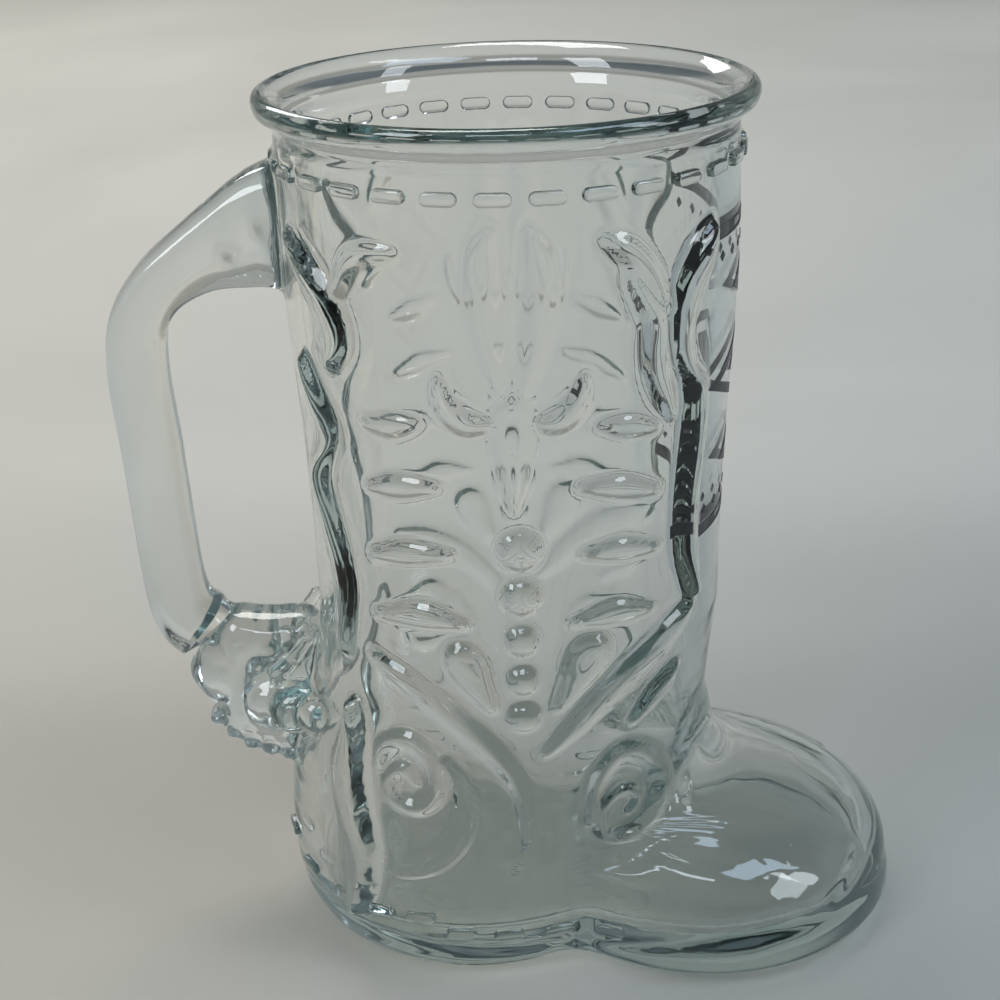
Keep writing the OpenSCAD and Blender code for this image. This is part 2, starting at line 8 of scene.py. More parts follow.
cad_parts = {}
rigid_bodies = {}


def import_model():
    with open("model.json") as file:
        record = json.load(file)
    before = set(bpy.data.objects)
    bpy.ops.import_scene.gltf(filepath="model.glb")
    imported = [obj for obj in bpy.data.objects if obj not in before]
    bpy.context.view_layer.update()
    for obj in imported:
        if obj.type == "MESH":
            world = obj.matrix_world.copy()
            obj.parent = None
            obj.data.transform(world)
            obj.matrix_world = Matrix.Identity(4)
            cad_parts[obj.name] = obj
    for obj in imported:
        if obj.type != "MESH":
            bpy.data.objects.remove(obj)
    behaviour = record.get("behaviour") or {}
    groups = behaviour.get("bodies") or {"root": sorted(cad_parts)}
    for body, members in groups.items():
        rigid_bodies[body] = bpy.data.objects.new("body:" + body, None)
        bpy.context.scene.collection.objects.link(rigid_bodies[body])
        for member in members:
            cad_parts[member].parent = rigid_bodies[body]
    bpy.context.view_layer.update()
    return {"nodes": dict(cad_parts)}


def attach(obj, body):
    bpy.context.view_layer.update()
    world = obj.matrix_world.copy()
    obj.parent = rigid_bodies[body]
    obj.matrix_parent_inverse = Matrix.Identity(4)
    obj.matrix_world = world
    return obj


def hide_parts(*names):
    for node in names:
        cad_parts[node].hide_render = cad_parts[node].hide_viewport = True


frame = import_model()
bpy.ops.object.select_all(action="DESELECT")
bpy.context.scene.view_settings.view_transform = "Standard"
bpy.context.scene.cycles.max_bounces = 40
bpy.context.scene.cycles.transmission_bounces = 32
bpy.context.scene.cycles.glossy_bounces = 16
mm = 0.001  # the tables below are in millimetres, Blender works in metres
tiny = 1e-12  # keeps divisions away from zero


# helpers

def smoothTable(rows, v):
    # reads a table of [place, value] with a smooth curve that never overshoots
    x, y = np.array(rows, float).T
    d = np.diff(y) / np.diff(x)
    # harmonic mean of the slopes on both sides, or level at a turning point
    level = np.where(d[:-1] * d[1:] > 0, 2 * d[:-1] * d[1:] / (d[:-1] + d[1:] + tiny), 0)
    s = np.concatenate([[d[0]], level, [d[-1]]])
    v = np.clip(v, x[0], x[-1])
    k = np.clip(np.searchsorted(x, v, side="right") - 1, 0, len(x) - 2)
    h = x[k + 1] - x[k]
    t = (v - x[k]) / h
    return ((2 * t ** 3 - 3 * t ** 2 + 1) * y[k] + (t ** 3 - 2 * t ** 2 + t) * h * s[k]
            + (3 * t ** 2 - 2 * t ** 3) * y[k + 1] + (t ** 3 - t ** 2) * h * s[k + 1])


def curveThrough(places, steps):
    # smooth line through a few places, each with as many numbers as it needs
    p = np.array(places, float)
    p = np.vstack([2 * p[0] - p[1], p, 2 * p[-1] - p[-2]])
    out = []
    for i in range(1, len(p) - 2):
        square = 2 * p[i - 1] - 5 * p[i] + 4 * p[i + 1] - p[i + 2]
        cube = 3 * p[i] - p[i - 1] - 3 * p[i + 1] + p[i + 2]
        for t in np.arange(steps) / steps:
            out.append(0.5 * (2 * p[i] + (p[i + 1] - p[i - 1]) * t + square * t * t + cube * t ** 3))
    return np.array(out + [p[-2]])


def ease(v):
    v = np.clip(v, 0, 1)
    return v * v * (3 - 2 * v)


def makeObject(name, points, faces):
    mesh = bpy.data.meshes.new(name)
    mesh.from_pydata([tuple(p) for p in np.array(points) * mm], [], faces)
    mesh.update()
    obj = bpy.data.objects.new(name, mesh)
    bpy.context.collection.objects.link(obj)
    return obj


def onlySelect(obj):
    bpy.ops.object.select_all(action="DESELECT")
    obj.select_set(True)
    bpy.context.view_layer.objects.active = obj


def outwardFaces(obj):
    bm = bmesh.new()
    bm.from_mesh(obj.data)
    bmesh.ops.recalc_face_normals(bm, faces=bm.faces)
    bm.to_mesh(obj.data)
    bm.free()


def countTriangles(obj):
    return sum(len(p.vertices) - 2 for p in obj.data.polygons)


def applyModifier(obj, kind, **settings):
    modifier = obj.modifiers.new(kind, kind)
    for key, value in settings.items():
        setattr(modifier, key, value)
    onlySelect(obj)
    bpy.ops.object.modifier_apply(modifier=modifier.name)


# the boot's own form, which follows the solids

boot = {
    "waistR": 35.5, "neckR": 38, "ankle": 62, "legWall": 3.4, "footWall": 4.2, "heelReach": 43.2,
    "heelHalf": 29.5, "toeReach": 68.5, "ballHalf": 36.25, "ballX": 33.5, "instep": 40, "arch": 2,
    "floor": 7.5, "legTop": 146.7,
    # places are shares of the height, values shares of the size that they shape
    "leg": [[0, 0], [0.1, 0.02], [0.22, 0.1], [0.36, 0.3], [0.5, 0.58], [0.63, 0.86], [0.75, 0.98],
            [0.88, 1], [0.95, 0.96], [1, 0.9]],
    "heelBack": [[0, 0.25], [0.03, 0.45], [0.08, 0.7], [0.16, 0.95], [0.3, 1], [0.48, 0.9], [0.65, 0.62],
                 [0.8, 0.3], [0.92, 0.08], [1, 0]],
    "legFront": [[0, 0.56], [0.16, 0.68], [0.32, 0.79], [0.48, 0.88], [0.61, 0.93], [0.73, 0.945],
                 [0.89, 0.975], [1, 1]],
    "flank": [[0, 0.88], [0.03, 0.84], [0.08, 0.74], [0.16, 0.56], [0.32, 0.36], [0.48, 0.24], [0.65, 0.16],
              [0.8, 0.08], [1, 0]],
    "toeFront": [[0, 0.975], [0.05, 0.99], [0.1, 1], [0.2, 0.997], [0.3, 0.983], [0.4, 0.95], [0.5, 0.855],
                 [0.575, 0.74], [0.65, 0.63], [0.7, 0.57], [0.75, 0.53], [0.8, 0.504], [0.85, 0.483],
                 [0.925, 0.447], [1, 0.405], [1.1, 0.3]],
    "toeMid": [[0, 1], [0.2, 0.985], [0.4, 0.93], [0.6, 0.76], [0.8, 0.57], [1, 0.4], [1.1, 0.3]],
    "toeHalf": [[0, 0.975], [0.05, 0.99], [0.15, 1], [0.25, 0.98], [0.35, 0.93], [0.45, 0.845], [0.55, 0.7],
                [0.65, 0.565], [0.75, 0.465], [0.85, 0.39], [0.95, 0.325], [1.1, 0.2]],
    "sliceMid": [[0, 0.39], [0.2, 0.36], [0.48, 0.22], [0.72, 0.03], [0.85, 0], [1, 0]],
    # how the inside of the toe follows its wall, where the toe ends, and how sharply it meets the heel
    "wallRise": 0.7, "wallIn": 0.85, "toeTop": 1.1, "blend": 7,
}
# columns and row heights of the glass skin, with more columns on the toe's flank for its petals
skin = {
    "columns": 336, "lipColumns": 168, "innerColumns": 84, "smoothBelow": 52,
    "outside": np.concatenate([np.linspace(3.6, 20, 22), np.arange(20.6, 22, 0.62),
                               np.arange(22.4, 42, 0.52), np.arange(42.6, 137.4, 0.68), [138.2, 138.9],
                               np.arange(139.7, 145.9, 0.86)]),
    "inside": np.linspace(145.5, boot["ankle"], 44),
    "insideFoot": np.concatenate([np.linspace(0.97, 0.1, 34), [0.07, 0.045, 0.025, 0.01, 0]]),
    # how often the ornament's height is softened, so that no facets show
    "soften": {"leg": 1, "top": 2, "topFrom": 104, "toe": 6, "toeFrom": 24, "toeBelow": 28},
    "fine": 721,
    "crowd": {"more": 0.9, "below": 27, "from": 22, "beside": 6, "fadeX": 6, "fadeY": 8, "fadeZ": 4},
}


def legR(z):
    share = (z - boot["ankle"]) / (boot["legTop"] - boot["ankle"])
    return boot["waistR"] + (boot["neckR"] - boot["waistR"]) * smoothTable(boot["leg"], share)


def sliceMid(z):
    return boot["ballX"] * smoothTable(boot["sliceMid"], z / boot["ankle"])


def ovalReach(a, mid, ovalX, ovalL, ovalW):
    # distance from mid to an oval along a ray at angle a
    good = (ovalL > 0) & (ovalW > 0)
    ovalL, ovalW = np.where(good, ovalL, 1), np.where(good, ovalW, 1)
    off = mid - ovalX
    qa = (np.cos(a) / ovalL) ** 2 + (np.sin(a) / ovalW) ** 2
    qb = 2 * off * np.cos(a) / ovalL ** 2
    qc = (off / ovalL) ** 2 - 1
    root = qb * qb - 4 * qa * qc
    return np.where(good & (root > 0), np.maximum((np.sqrt(np.maximum(root, 0)) - qb) / (2 * qa), 0), 0)


def reach(a, z, wall=0.0):
    a, z, wall = np.broadcast_arrays(np.asarray(a, float), np.asarray(z, float), np.asarray(wall, float))
    s = z / boot["ankle"]
    mid = sliceMid(z)
    back = boot["waistR"] + (boot["heelReach"] - boot["waistR"]) * smoothTable(boot["heelBack"], s) - wall
    front = boot["waistR"] * smoothTable(boot["legFront"], s) - wall
    half = boot["waistR"] + (boot["heelHalf"] - boot["waistR"]) * smoothTable(boot["flank"], s) - wall
    heel = ovalReach(a, mid, (front - back) / 2, (front + back) / 2, half)
    t = (z + wall * boot["wallRise"]) / boot["instep"]
    toeMid = boot["ballX"] * smoothTable(boot["toeMid"], t)
    toeLong = boot["toeReach"] * smoothTable(boot["toeFront"], t) - toeMid - wall * boot["wallIn"]
    toeHalf = boot["ballHalf"] * smoothTable(boot["toeHalf"], t) - wall * boot["wallIn"]
    toe = np.where(t > boot["toeTop"], 0, ovalReach(a, mid, toeMid, toeLong, toeHalf))
    foot = (heel ** boot["blend"] + toe ** boot["blend"]) ** (1 / boot["blend"])
    return np.where(z >= boot["ankle"], legR(z) - wall, foot)


def evenAngles(z, count, wall=0.0):
    # angles that part one slice of the boot into even lengths, the same on both sides
    fine = np.linspace(0, math.pi, skin["fine"])
    r = reach(fine, z, wall)
    x, y = r * np.cos(fine), r * np.sin(fine)
    crowd = skin["crowd"]
    more = crowd["more"] * ease((crowd["below"] - z) / crowd["fadeZ"])
    more = more * ease((x[1:] - crowd["from"]) / crowd["fadeX"])
    more = more * ease((np.abs(y[1:]) - crowd["beside"]) / crowd["fadeY"])
    run = np.concatenate([[0], np.cumsum(np.hypot(np.diff(x), np.diff(y)) * (1 + more))])
    half = np.interp(np.linspace(0, run[-1], count // 2 + 1), run, fine)
    return np.concatenate([half, 2 * math.pi - half[-2:0:-1]])


def slicePoints(z, count, wall=0.0, drawIn=0.0, level=None):
    a = evenAngles(z, count, wall)
    r = reach(a, z, wall) - drawIn
    height = np.full(len(a), z if level is None else level)
    return np.stack([sliceMid(z) + r * np.cos(a), r * np.sin(a), height], -1)


def ringPoints(r, a, z):
    return np.stack([r * np.cos(a), r * np.sin(a), np.full(len(a), z)], -1)


# raised ornament of the side: how far each stroke stands out, and its line as (x, z, half width)

ornament = [
    # piping down the front and the back
    (2.2, [(30.6, 133.2, 0.7), (28.9, 129.2, 2.8), (27.0, 125.8, 3.0), (25.6, 121.8, 2.8),
           (25.1, 116.6, 2.5), (25.8, 112.8, 2.0), (27.1, 110.0, 1.3), (28.1, 106.6, 2.4),
           (28.1, 101.6, 2.5), (27.6, 95.6, 2.4), (26.9, 87.0, 2.4), (27.0, 79.0, 2.3), (28.4, 70.5, 1.2)]),
    (2.2, [(-34.4, 132.4, 0.6), (-31.6, 127.9, 2.5), (-28.6, 122.9, 2.9), (-27.2, 117.5, 2.7),
           (-28.2, 112.7, 1.1)]),
    (2.0, [(-33.4, 112.0, 0.6), (-31.2, 105.5, 2.3), (-29.8, 100.6, 2.5), (-31.9, 92.0, 2.1),
           (-30.5, 84.1, 2.4), (-28.8, 74.0, 2.4), (-29.5, 60.8, 1.0)]),
    (3.0, [(-28.4, 52.0, 1.0), (-28.6, 46.5, 2.4), (-29.8, 39.5, 3.5), (-29.4, 32.5, 3.7),
           (-28.4, 25.5, 3.6), (-29.0, 18.5, 3.1), (-29.8, 12.5, 1.6)]),
    # plume and its drop
    (0.85, [(-3.6, 136.4, 1.2), (-4.6, 132.4, 2.7), (-4.5, 126.0, 2.6), (-3.8, 118.6, 2.1),
            (-2.2, 111.6, 0.8)]),
    (0.85, [(2.8, 136.2, 1.2), (4.0, 132.2, 2.6), (3.9, 126.0, 2.5), (2.9, 118.6, 2.0), (1.2, 111.6, 0.8)]),
    (0.9, [(-0.7, 110.7, 0.8), (-0.7, 107.2, 3.5), (-0.7, 102.0, 3.0), (-0.7, 97.0, 2.2),
           (-0.7, 92.0, 0.6)]),
    # leaf tips
    (1.1, [(-27.3, 123.4, 0.6), (-24.8, 129.7, 1.7), (-22.0, 132.2, 1.8), (-17.8, 133.0, 0.6)]),
    (1.3, [(13.6, 134.3, 0.8), (16.3, 133.0, 2.0), (18.5, 130.9, 2.1), (20.5, 127.7, 2.1),
           (22.0, 124.2, 1.7), (22.9, 121.8, 0.9)]),
    (1.5, [(17.2, 128.6, 0.7), (19.4, 124.2, 1.5), (21.2, 120.4, 2.0), (21.3, 116.0, 2.4),
           (21.8, 111.6, 2.4), (23.0, 107.5, 1.9), (24.2, 103.7, 0.8)]),
    (1.4, [(-11.8, 113.6, 0.8), (-10.6, 109.4, 2.0), (-7.8, 106.8, 2.2), (-4.4, 106.4, 0.8)]),
    (1.4, [(10.4, 113.4, 0.8), (9.2, 109.4, 2.0), (6.5, 106.8, 2.2), (3.4, 106.5, 0.8)]),
    (1.2, [(25.6, 57.8, 0.8), (22.4, 54.6, 2.2), (18.1, 50.2, 0.8)]),
    # leaves across the leg
    (1.2, [(-23.4, 104.5, 0.7), (-19.2, 105.1, 2.0), (-15.3, 106.2, 0.6)]),
    (1.2, [(-23.4, 93.6, 0.7), (-18.5, 94.8, 2.0), (-12.8, 95.4, 0.6)]),
    (1.2, [(-23.4, 81.5, 0.7), (-17.8, 83.2, 2.0), (-11.0, 83.8, 0.6)]),
    (1.3, [(-23.4, 70.6, 0.7), (-16.0, 72.4, 2.4), (-8.5, 71.6, 0.6)]),
    (1.2, [(21.7, 102.9, 0.7), (17.4, 104.2, 1.9), (12.8, 105.2, 0.6)]),
    (1.2, [(22.0, 91.8, 0.7), (16.0, 94.0, 1.9), (9.6, 95.2, 0.6)]),
    (1.2, [(22.0, 81.7, 0.7), (16.0, 83.1, 1.9), (10.3, 83.5, 0.6)]),
    (1.3, [(21.3, 70.9, 0.7), (14.9, 72.2, 2.3), (8.2, 71.5, 0.6)]),
    # gems
    (1.7, [(-10.6, 66.2, 1.6), (-9.2, 64.8, 3.5), (-7.6, 61.4, 2.9), (-5.6, 57.8, 1.6), (-4.8, 56.2, 0.7)]),
    (1.7, [(12.0, 67.0, 1.8), (10.6, 65.2, 3.8), (8.6, 61.6, 2.9), (6.4, 57.8, 1.5), (5.4, 56.0, 0.7)]),
    # long bars over the instep
    (1.35, [(-24.5, 62.6, 0.9), (-20.0, 60.2, 2.1), (-13.6, 56.0, 2.4), (-7.5, 50.6, 2.2), (-3.4, 45.6, 1.6),
            (-0.8, 39.2, 1.1), (0.1, 30.0, 0.8), (-3.0, 22.0, 0.5)]),
    (1.45, [(28.0, 68.4, 1.1), (24.8, 65.6, 2.4), (19.5, 62.0, 2.8), (13.0, 57.0, 2.6), (8.0, 52.0, 2.0),
            (3.7, 47.6, 0.8)]),
    # scrolls, and the sickles under them
    (1.25, [(10.5, 31.5, 0.8), (12.2, 40.5, 1.6), (16.2, 44.6, 1.9), (21.0, 41.5, 2.0), (23.6, 35.0, 1.9),
            (22.4, 28.6, 1.7), (17.6, 25.4, 1.5), (13.0, 28.4, 1.2), (12.6, 33.6, 1.1), (16.0, 36.8, 1.0),
            (19.0, 34.2, 0.8), (17.6, 31.0, 0.5)]),
    (1.2, [(28.6, 31.5, 0.5), (27.6, 25.5, 1.4), (24.0, 21.0, 1.8), (18.5, 19.0, 1.4), (12.5, 19.8, 0.5)]),
    (1.2, [(-24.8, 42.0, 0.6), (-23.6, 46.2, 1.5), (-19.4, 48.6, 1.8), (-15.6, 45.6, 1.9),
           (-15.0, 40.0, 1.7), (-18.0, 36.2, 1.5), (-22.0, 37.0, 1.2), (-23.0, 40.6, 1.0),
           (-20.4, 43.0, 0.9), (-18.4, 41.0, 0.6)]),
    (1.25, [(-13.0, 46.0, 0.5), (-10.8, 40.5, 1.5), (-10.4, 34.0, 2.3), (-13.2, 27.8, 2.3),
            (-18.0, 23.8, 1.6), (-23.5, 21.6, 0.5)]),
]
# skirt is how far a stroke's foot reaches past its edge, slope the width of its flank from there, dome the
# share of its height that is round, farShare the height of the far side's ornament against the near side's
stroke = {"steps": 6, "reach": 4.5, "skirt": 0.45, "slope": 1.8, "dome": 0.55, "thin": 2.05,
          "thinSlope": 1.3, "bold": 1.9, "boldDome": 0.78, "sideFrom": 3, "farShare": 0.78}
studs = {"z": [85.0, 76.8, 69.0, 61.8, 54.8], "r": [3.4, 3.1, 2.7, 2.6, 2.7], "rise": 1.8}
# petals of the toe: x and z of the upper end and of the lower tip, then (share of the way, half width)
petals = {
    "ends": [(30.9, 25.1, 26.3, 21.4), (32.8, 23.1, 28.0, 17.9), (36.9, 21.3, 31.0, 17.0),
             (40.6, 20.4, 34.6, 15.9), (46.0, 19.9, 38.6, 15.6), (50.4, 19.0, 43.8, 14.3),
             (55.2, 17.7, 48.2, 13.6), (59.4, 15.8, 53.6, 12.2)],
    "widths": ((0, 0.7), (0.3, 1.35), (0.7, 1.4), (1, 0.5)), "bowX": 1.1, "bowZ": 0.9,
    "rise": 1.6, "steps": 5, "slope": 1.2, "dome": 1.0,
    "rimHalf": 0.9, "rimRise": 0.5, "rimSteps": 2, "rimSlope": 0.9,
}
legStitches = {"count": 30, "phase": -94.0, "z": 141.4, "half": 2.8, "r": 1.08, "rise": 1.0}
weltStitches = {"places": [(-42.1, 18.6), (-38.9, 14.9), (-32.5, 13.8), (-25.8, 13.6), (-18.7, 13.9),
                           (-11.7, 10.9), (-3.6, 9.9), (5.3, 9.3), (14.2, 9.3)],
                "half": 2.7, "r": 1.1, "rise": 0.9}
# crease between the upper and the sole
welt = {"line": [(-44, 9.4), (-30, 9.2), (-18, 8.0), (-4, 6.2), (8.4, 5.0), (20.5, 7.8), (30.7, 10.0),
                 (40.3, 10.5), (51.4, 10.4), (61, 9.4), (70, 8.2)], "half": 1.1, "depth": 0.5}


def petalLine(x, z, tipX, tipZ):
    line = []
    for t, width in petals["widths"]:
        bow = math.sin(math.pi * t)
        here = x + (tipX - x) * t + petals["bowX"] * bow
        line.append((here, z + (tipZ - z) * t + petals["bowZ"] * bow, width))
    return line


def strokeHeight(x, z, row, rise, steps, slope, dome):
    # height of one raised stroke at the places (x, z) of the side view
    line = curveThrough(row, steps)
    far = stroke["reach"]
    box = (x > line[:, 0].min() - far) & (x < line[:, 0].max() + far)
    box &= (z > line[:, 1].min() - far) & (z < line[:, 1].max() + far)
    out = np.zeros(len(x))
    px, pz = x[box], z[box]
    edge = np.full(len(px), -2 * far)
    fill = np.zeros(len(px))
    for a, b in zip(line[:-1], line[1:]):
        d = b[:2] - a[:2]
        t = np.clip(((px - a[0]) * d[0] + (pz - a[1]) * d[1]) / max(d @ d, tiny), 0, 1)
        gap = np.hypot(px - a[0] - d[0] * t, pz - a[1] - d[1] * t)
        w = a[2] + (b[2] - a[2]) * t
        edge = np.maximum(edge, w - gap)
        fill = np.maximum(fill, 1 - (gap / w) ** 2)
    out[box] = rise * ((1 - dome) * ease((edge + stroke["skirt"]) / slope) + dome * np.clip(fill, 0, 1))
    return out


def reliefHeight(points):
    x, y, z = points.T
    raised = []
    for rise, row in ornament:
        thin = max(width for _, _, width in row) < stroke["thin"]
        slope = stroke["thinSlope"] if thin else stroke["slope"]
        dome = stroke["boldDome"] if rise > stroke["bold"] else stroke["dome"]
        raised.append(strokeHeight(x, z, row, rise, stroke["steps"], slope, dome))
    for ends in petals["ends"]:
        form = (petals["rise"], petals["steps"], petals["slope"], petals["dome"])
        raised.append(strokeHeight(x, z, petalLine(*ends), *form))
    rim = [(endX, endZ, petals["rimHalf"]) for endX, endZ, _, _ in petals["ends"]]
    form = (petals["rimRise"], petals["rimSteps"], petals["rimSlope"], stroke["dome"])
    raised.append(strokeHeight(x, z, rim, *form))
    for level, r in zip(studs["z"], studs["r"]):
        gap = np.hypot(x, z - level)
        raised.append(studs["rise"] * np.sqrt(np.clip(1 - (gap / r) ** 2, 0, 1)))
    height = np.where(np.abs(y) > stroke["sideFrom"], np.max(raised, axis=0), 0)
    height = np.where(y > 0, stroke["farShare"], 1) * height
    line = np.interp(x, *np.array(welt["line"]).T)
    height -= welt["depth"] * np.exp(-((z - line) / welt["half"]) ** 2)
    return height


def ringFaces(a, b, count):
    return [(a + j, a + (j + 1) % count, b + (j + 1) % count, b + j) for j in range(count)]


def narrowFaces(a, countA, b, countB):
    # joins a ring to one with a half or a quarter of its points
    k = countA // countB
    faces = []
    for j in range(countB):
        nextB = b + (j + 1) % countB
        for i in range(k):
            here = b + j if i < (k + 1) // 2 else nextB
            faces.append((a + j * k + i, a + (j * k + i + 1) % countA, here))
            if i == (k + 1) // 2 - 1:
                faces.append((a + (j * k + i + 1) % countA, nextB, b + j))
    return faces


base = {
    # x of the middle and radius of the two flats, and where each ends towards the arch
    "heelX": -8.5, "heelR": 29.3, "heelEnd": 9.3, "soleX": 33.5, "soleR": 34.0, "soleStart": 7.7,
    "edge": 1.9, "breast": 8.5, "drawIn": 1.7,
    # shares of the way from the middle to the rim, and the rows (height, drawn in) of the rounded edge
    "inner": np.linspace(0.03, 0.33, 11),
    "outer": np.concatenate([np.linspace(0.36, 0.84, 17), np.linspace(0.86, 1, 9)]),
    "rounding": [(2.1, 1.1), (2.45, 0.6), (2.95, 0.2)],
}
# section of the rolled lip from the outside over the top, as (radius, height)
lip = {
    "line": [(37.85, 146.0), (38.15, 146.8), (38.9, 147.5), (39.8, 148.1), (40.55, 148.8), (40.9, 149.8),
             (40.93, 150.7), (40.55, 151.5), (39.8, 151.93), (39.0, 151.9), (38.2, 151.5), (37.3, 150.7),
             (36.5, 149.8), (35.95, 148.8), (35.6, 147.8), (35.4, 146.8)],
    "steps": 2, "mouthR": 35.3, "mouthFrom": 144,
}
inside = {"fillet": 0.8, "filletShare": 0.08, "floorShares": (0.8, 0.55, 0.3, 0.08), "floorSag": 0.25}


def baseRow(share, count):
    # one ring of the underside: flat under heel and sole, raised to the arch between and around them
    p = slicePoints(boot["arch"], count, 0, base["drawIn"])
    mid = sliceMid(boot["arch"])
    p[:, 0] = mid + (p[:, 0] - mid) * share
    p[:, 1] *= share
    heelIn = base["heelR"] - np.hypot(p[:, 0] - base["heelX"], p[:, 1])
    soleIn = base["soleR"] - np.hypot(p[:, 0] - base["soleX"], p[:, 1])
    heel = np.minimum(heelIn / base["edge"], (base["heelEnd"] - p[:, 0]) / base["breast"])
    sole = np.minimum(soleIn / base["edge"], (p[:, 0] - base["soleStart"]) / base["breast"])
    p[:, 2] = boot["arch"] * (1 - ease(np.maximum(heel, sole)))
    return p


def outsideRows():
    rows = [baseRow(share, skin["innerColumns"]) for share in base["inner"]]
    rows += [baseRow(share, skin["lipColumns"]) for share in base["outer"]]
    for level, drawIn in base["rounding"]:
        rows.append(slicePoints(max(level, boot["arch"]), skin["columns"], 0, drawIn, level))
    wall = raiseOrnament(np.array([slicePoints(z, skin["columns"]) for z in skin["outside"]]))
    return rows + list(wall)


def raiseOrnament(wall):
    # moves the outer wall out along its normal by the softened height of the ornament
    roundWay = np.roll(wall, -1, 1) - np.roll(wall, 1, 1)
    normal = np.cross(roundWay, np.gradient(wall, axis=0))
    normal /= np.linalg.norm(normal, axis=-1, keepdims=True)
    height = reliefHeight(wall.reshape(-1, 3)).reshape(wall.shape[:2])
    soften = skin["soften"]
    passes = np.where(wall[..., 2] > soften["topFrom"], soften["top"], soften["leg"])
    passes[(wall[..., 0] > soften["toeFrom"]) & (wall[..., 2] < soften["toeBelow"])] = soften["toe"]
    for turn in range(soften["toe"]):
        padded = np.pad(height, ((1, 1), (0, 0)), mode="edge")
        around = padded[:-2] + padded[2:] + np.roll(height, 1, 1) + np.roll(height, -1, 1)
        # half of the place's own height and an eighth of each of its four neighbours'
        height = np.where(turn < passes, height / 2 + around / 8, height)
    return wall + normal * height[..., None]


def insideRows():
    lipTurn = np.arange(skin["lipColumns"]) * 2 * math.pi / skin["lipColumns"]
    rows = [ringPoints(r, lipTurn, z) for r, z in curveThrough(lip["line"], lip["steps"])]
    count = skin["innerColumns"]
    for z in skin["inside"]:
        r = legR(z) - boot["legWall"]
        if z > lip["mouthFrom"]:
            r = min(r, lip["mouthR"])
        rows.append(ringPoints(r, evenAngles(z, count), z))
    for share in skin["insideFoot"]:
        z = boot["floor"] + (boot["ankle"] - boot["floor"]) * share
        wall = boot["footWall"] + (boot["legWall"] - boot["footWall"]) * share
        drawIn = boot["footWall"] * inside["fillet"] * max(0, 1 - share / inside["filletShare"]) ** 2
        rows.append(slicePoints(z, count, wall, drawIn))
    floorRow = rows[-1]
    mid = sliceMid(boot["floor"])
    for share in inside["floorShares"]:
        p = floorRow.copy()
        p[:, 0] = mid + (p[:, 0] - mid) * share
        p[:, 1] *= share
        p[:, 2] = boot["floor"] - inside["floorSag"] * (1 - share ** 2)
        rows.append(p)
    return rows


def buildGlassBody():
    # rings from the middle of the base, up the outside, over the lip and down the inside
    rows = outsideRows() + insideRows()
    starts = np.cumsum([0] + [len(p) for p in rows]).tolist()
    faces = []
    for i in range(len(rows) - 1):
        a, b = starts[i], starts[i + 1]
        countA, countB = len(rows[i]), len(rows[i + 1])
        if countA == countB:
            faces += ringFaces(a, b, countA)
        elif countA > countB:
            faces += narrowFaces(a, countA, b, countB)
        else:
            faces += [tuple(reversed(f)) for f in narrowFaces(b, countB, a, countA)]
    faces.append(tuple(reversed(range(len(rows[0])))))
    faces.append(tuple(range(starts[-2], starts[-1])))
    body = makeObject("glass_body", np.concatenate(rows), faces)
    outwardFaces(body)
    return body


def wallPlace(a, z):
    r = float(reach(a, z))
    return np.array([float(sliceMid(z)) + r * math.cos(a), r * math.sin(a), z])


stitchForm = {"facets": 20, "turn": 0.03, "reach": 0.8, "tries": 12, "most": 0.999, "bury": 1.0,
              # drop under the top, and how far the outline is drawn in there
              "rings": [(0.3, 0.0), (0.08, 0.14), (0, 0.42)]}


def weltAngle(x, z):
    # angle at which the wall stands at x, found by going round a few times
    a = math.pi / 2
    most = stitchForm["most"]
    for _ in range(stitchForm["tries"]):
        share = (x - float(sliceMid(z))) / float(reach(a, z))
        a = math.acos(max(-most, min(most, share)))
    return a


def buildStitches():
    # rounded slots that lie along the wall, each a small solid with a soft upper edge
    step = 360 / legStitches["count"]
    turns = [math.radians(legStitches["phase"] + step * i) for i in range(legStitches["count"])]
    spots = [(a, legStitches["z"], legStitches) for a in turns]
    for x, z in weltStitches["places"]:
        a = weltAngle(x, z)
        spots += [(a, z, weltStitches), (-a, z, weltStitches)]
    points, faces = [], []
    k = stitchForm["facets"]
    for a, z, shape in spots:
        along = wallPlace(a + stitchForm["turn"], z) - wallPlace(a - stitchForm["turn"], z)
        along /= np.linalg.norm(along)
        up = wallPlace(a, z + stitchForm["reach"]) - wallPlace(a, z - stitchForm["reach"])
        out = np.cross(along, up)
        out /= np.linalg.norm(out)
        up = np.cross(out, along)
        here = wallPlace(a, z)
        start = len(points)
        rings = [(-stitchForm["bury"], 0.0)]
        rings += [(shape["rise"] - drop, inset) for drop, inset in stitchForm["rings"]]
        for level, inset in rings:
            for j in range(k):
                t = 2 * math.pi * (j + 0.5) / k
                r = shape["r"] - inset
                u = math.copysign(shape["half"] - shape["r"], math.cos(t)) + r * math.cos(t)
                points.append(here + along * u + up * r * math.sin(t) + out * level)
        for i in range(len(rings) - 1):
            faces += ringFaces(start + i * k, start + (i + 1) * k, k)
        faces.append(tuple(reversed(range(start, start + k))))
        faces.append(tuple(range(start + (len(rings) - 1) * k, start + len(rings) * k)))
    stitches = makeObject("stitches", points, faces)
    outwardFaces(stitches)
    return stitches


glassBody = buildGlassBody()
print("glass body:", countTriangles(glassBody), "triangles")


# handle: a swept bar with a flared upper root, then the lower root

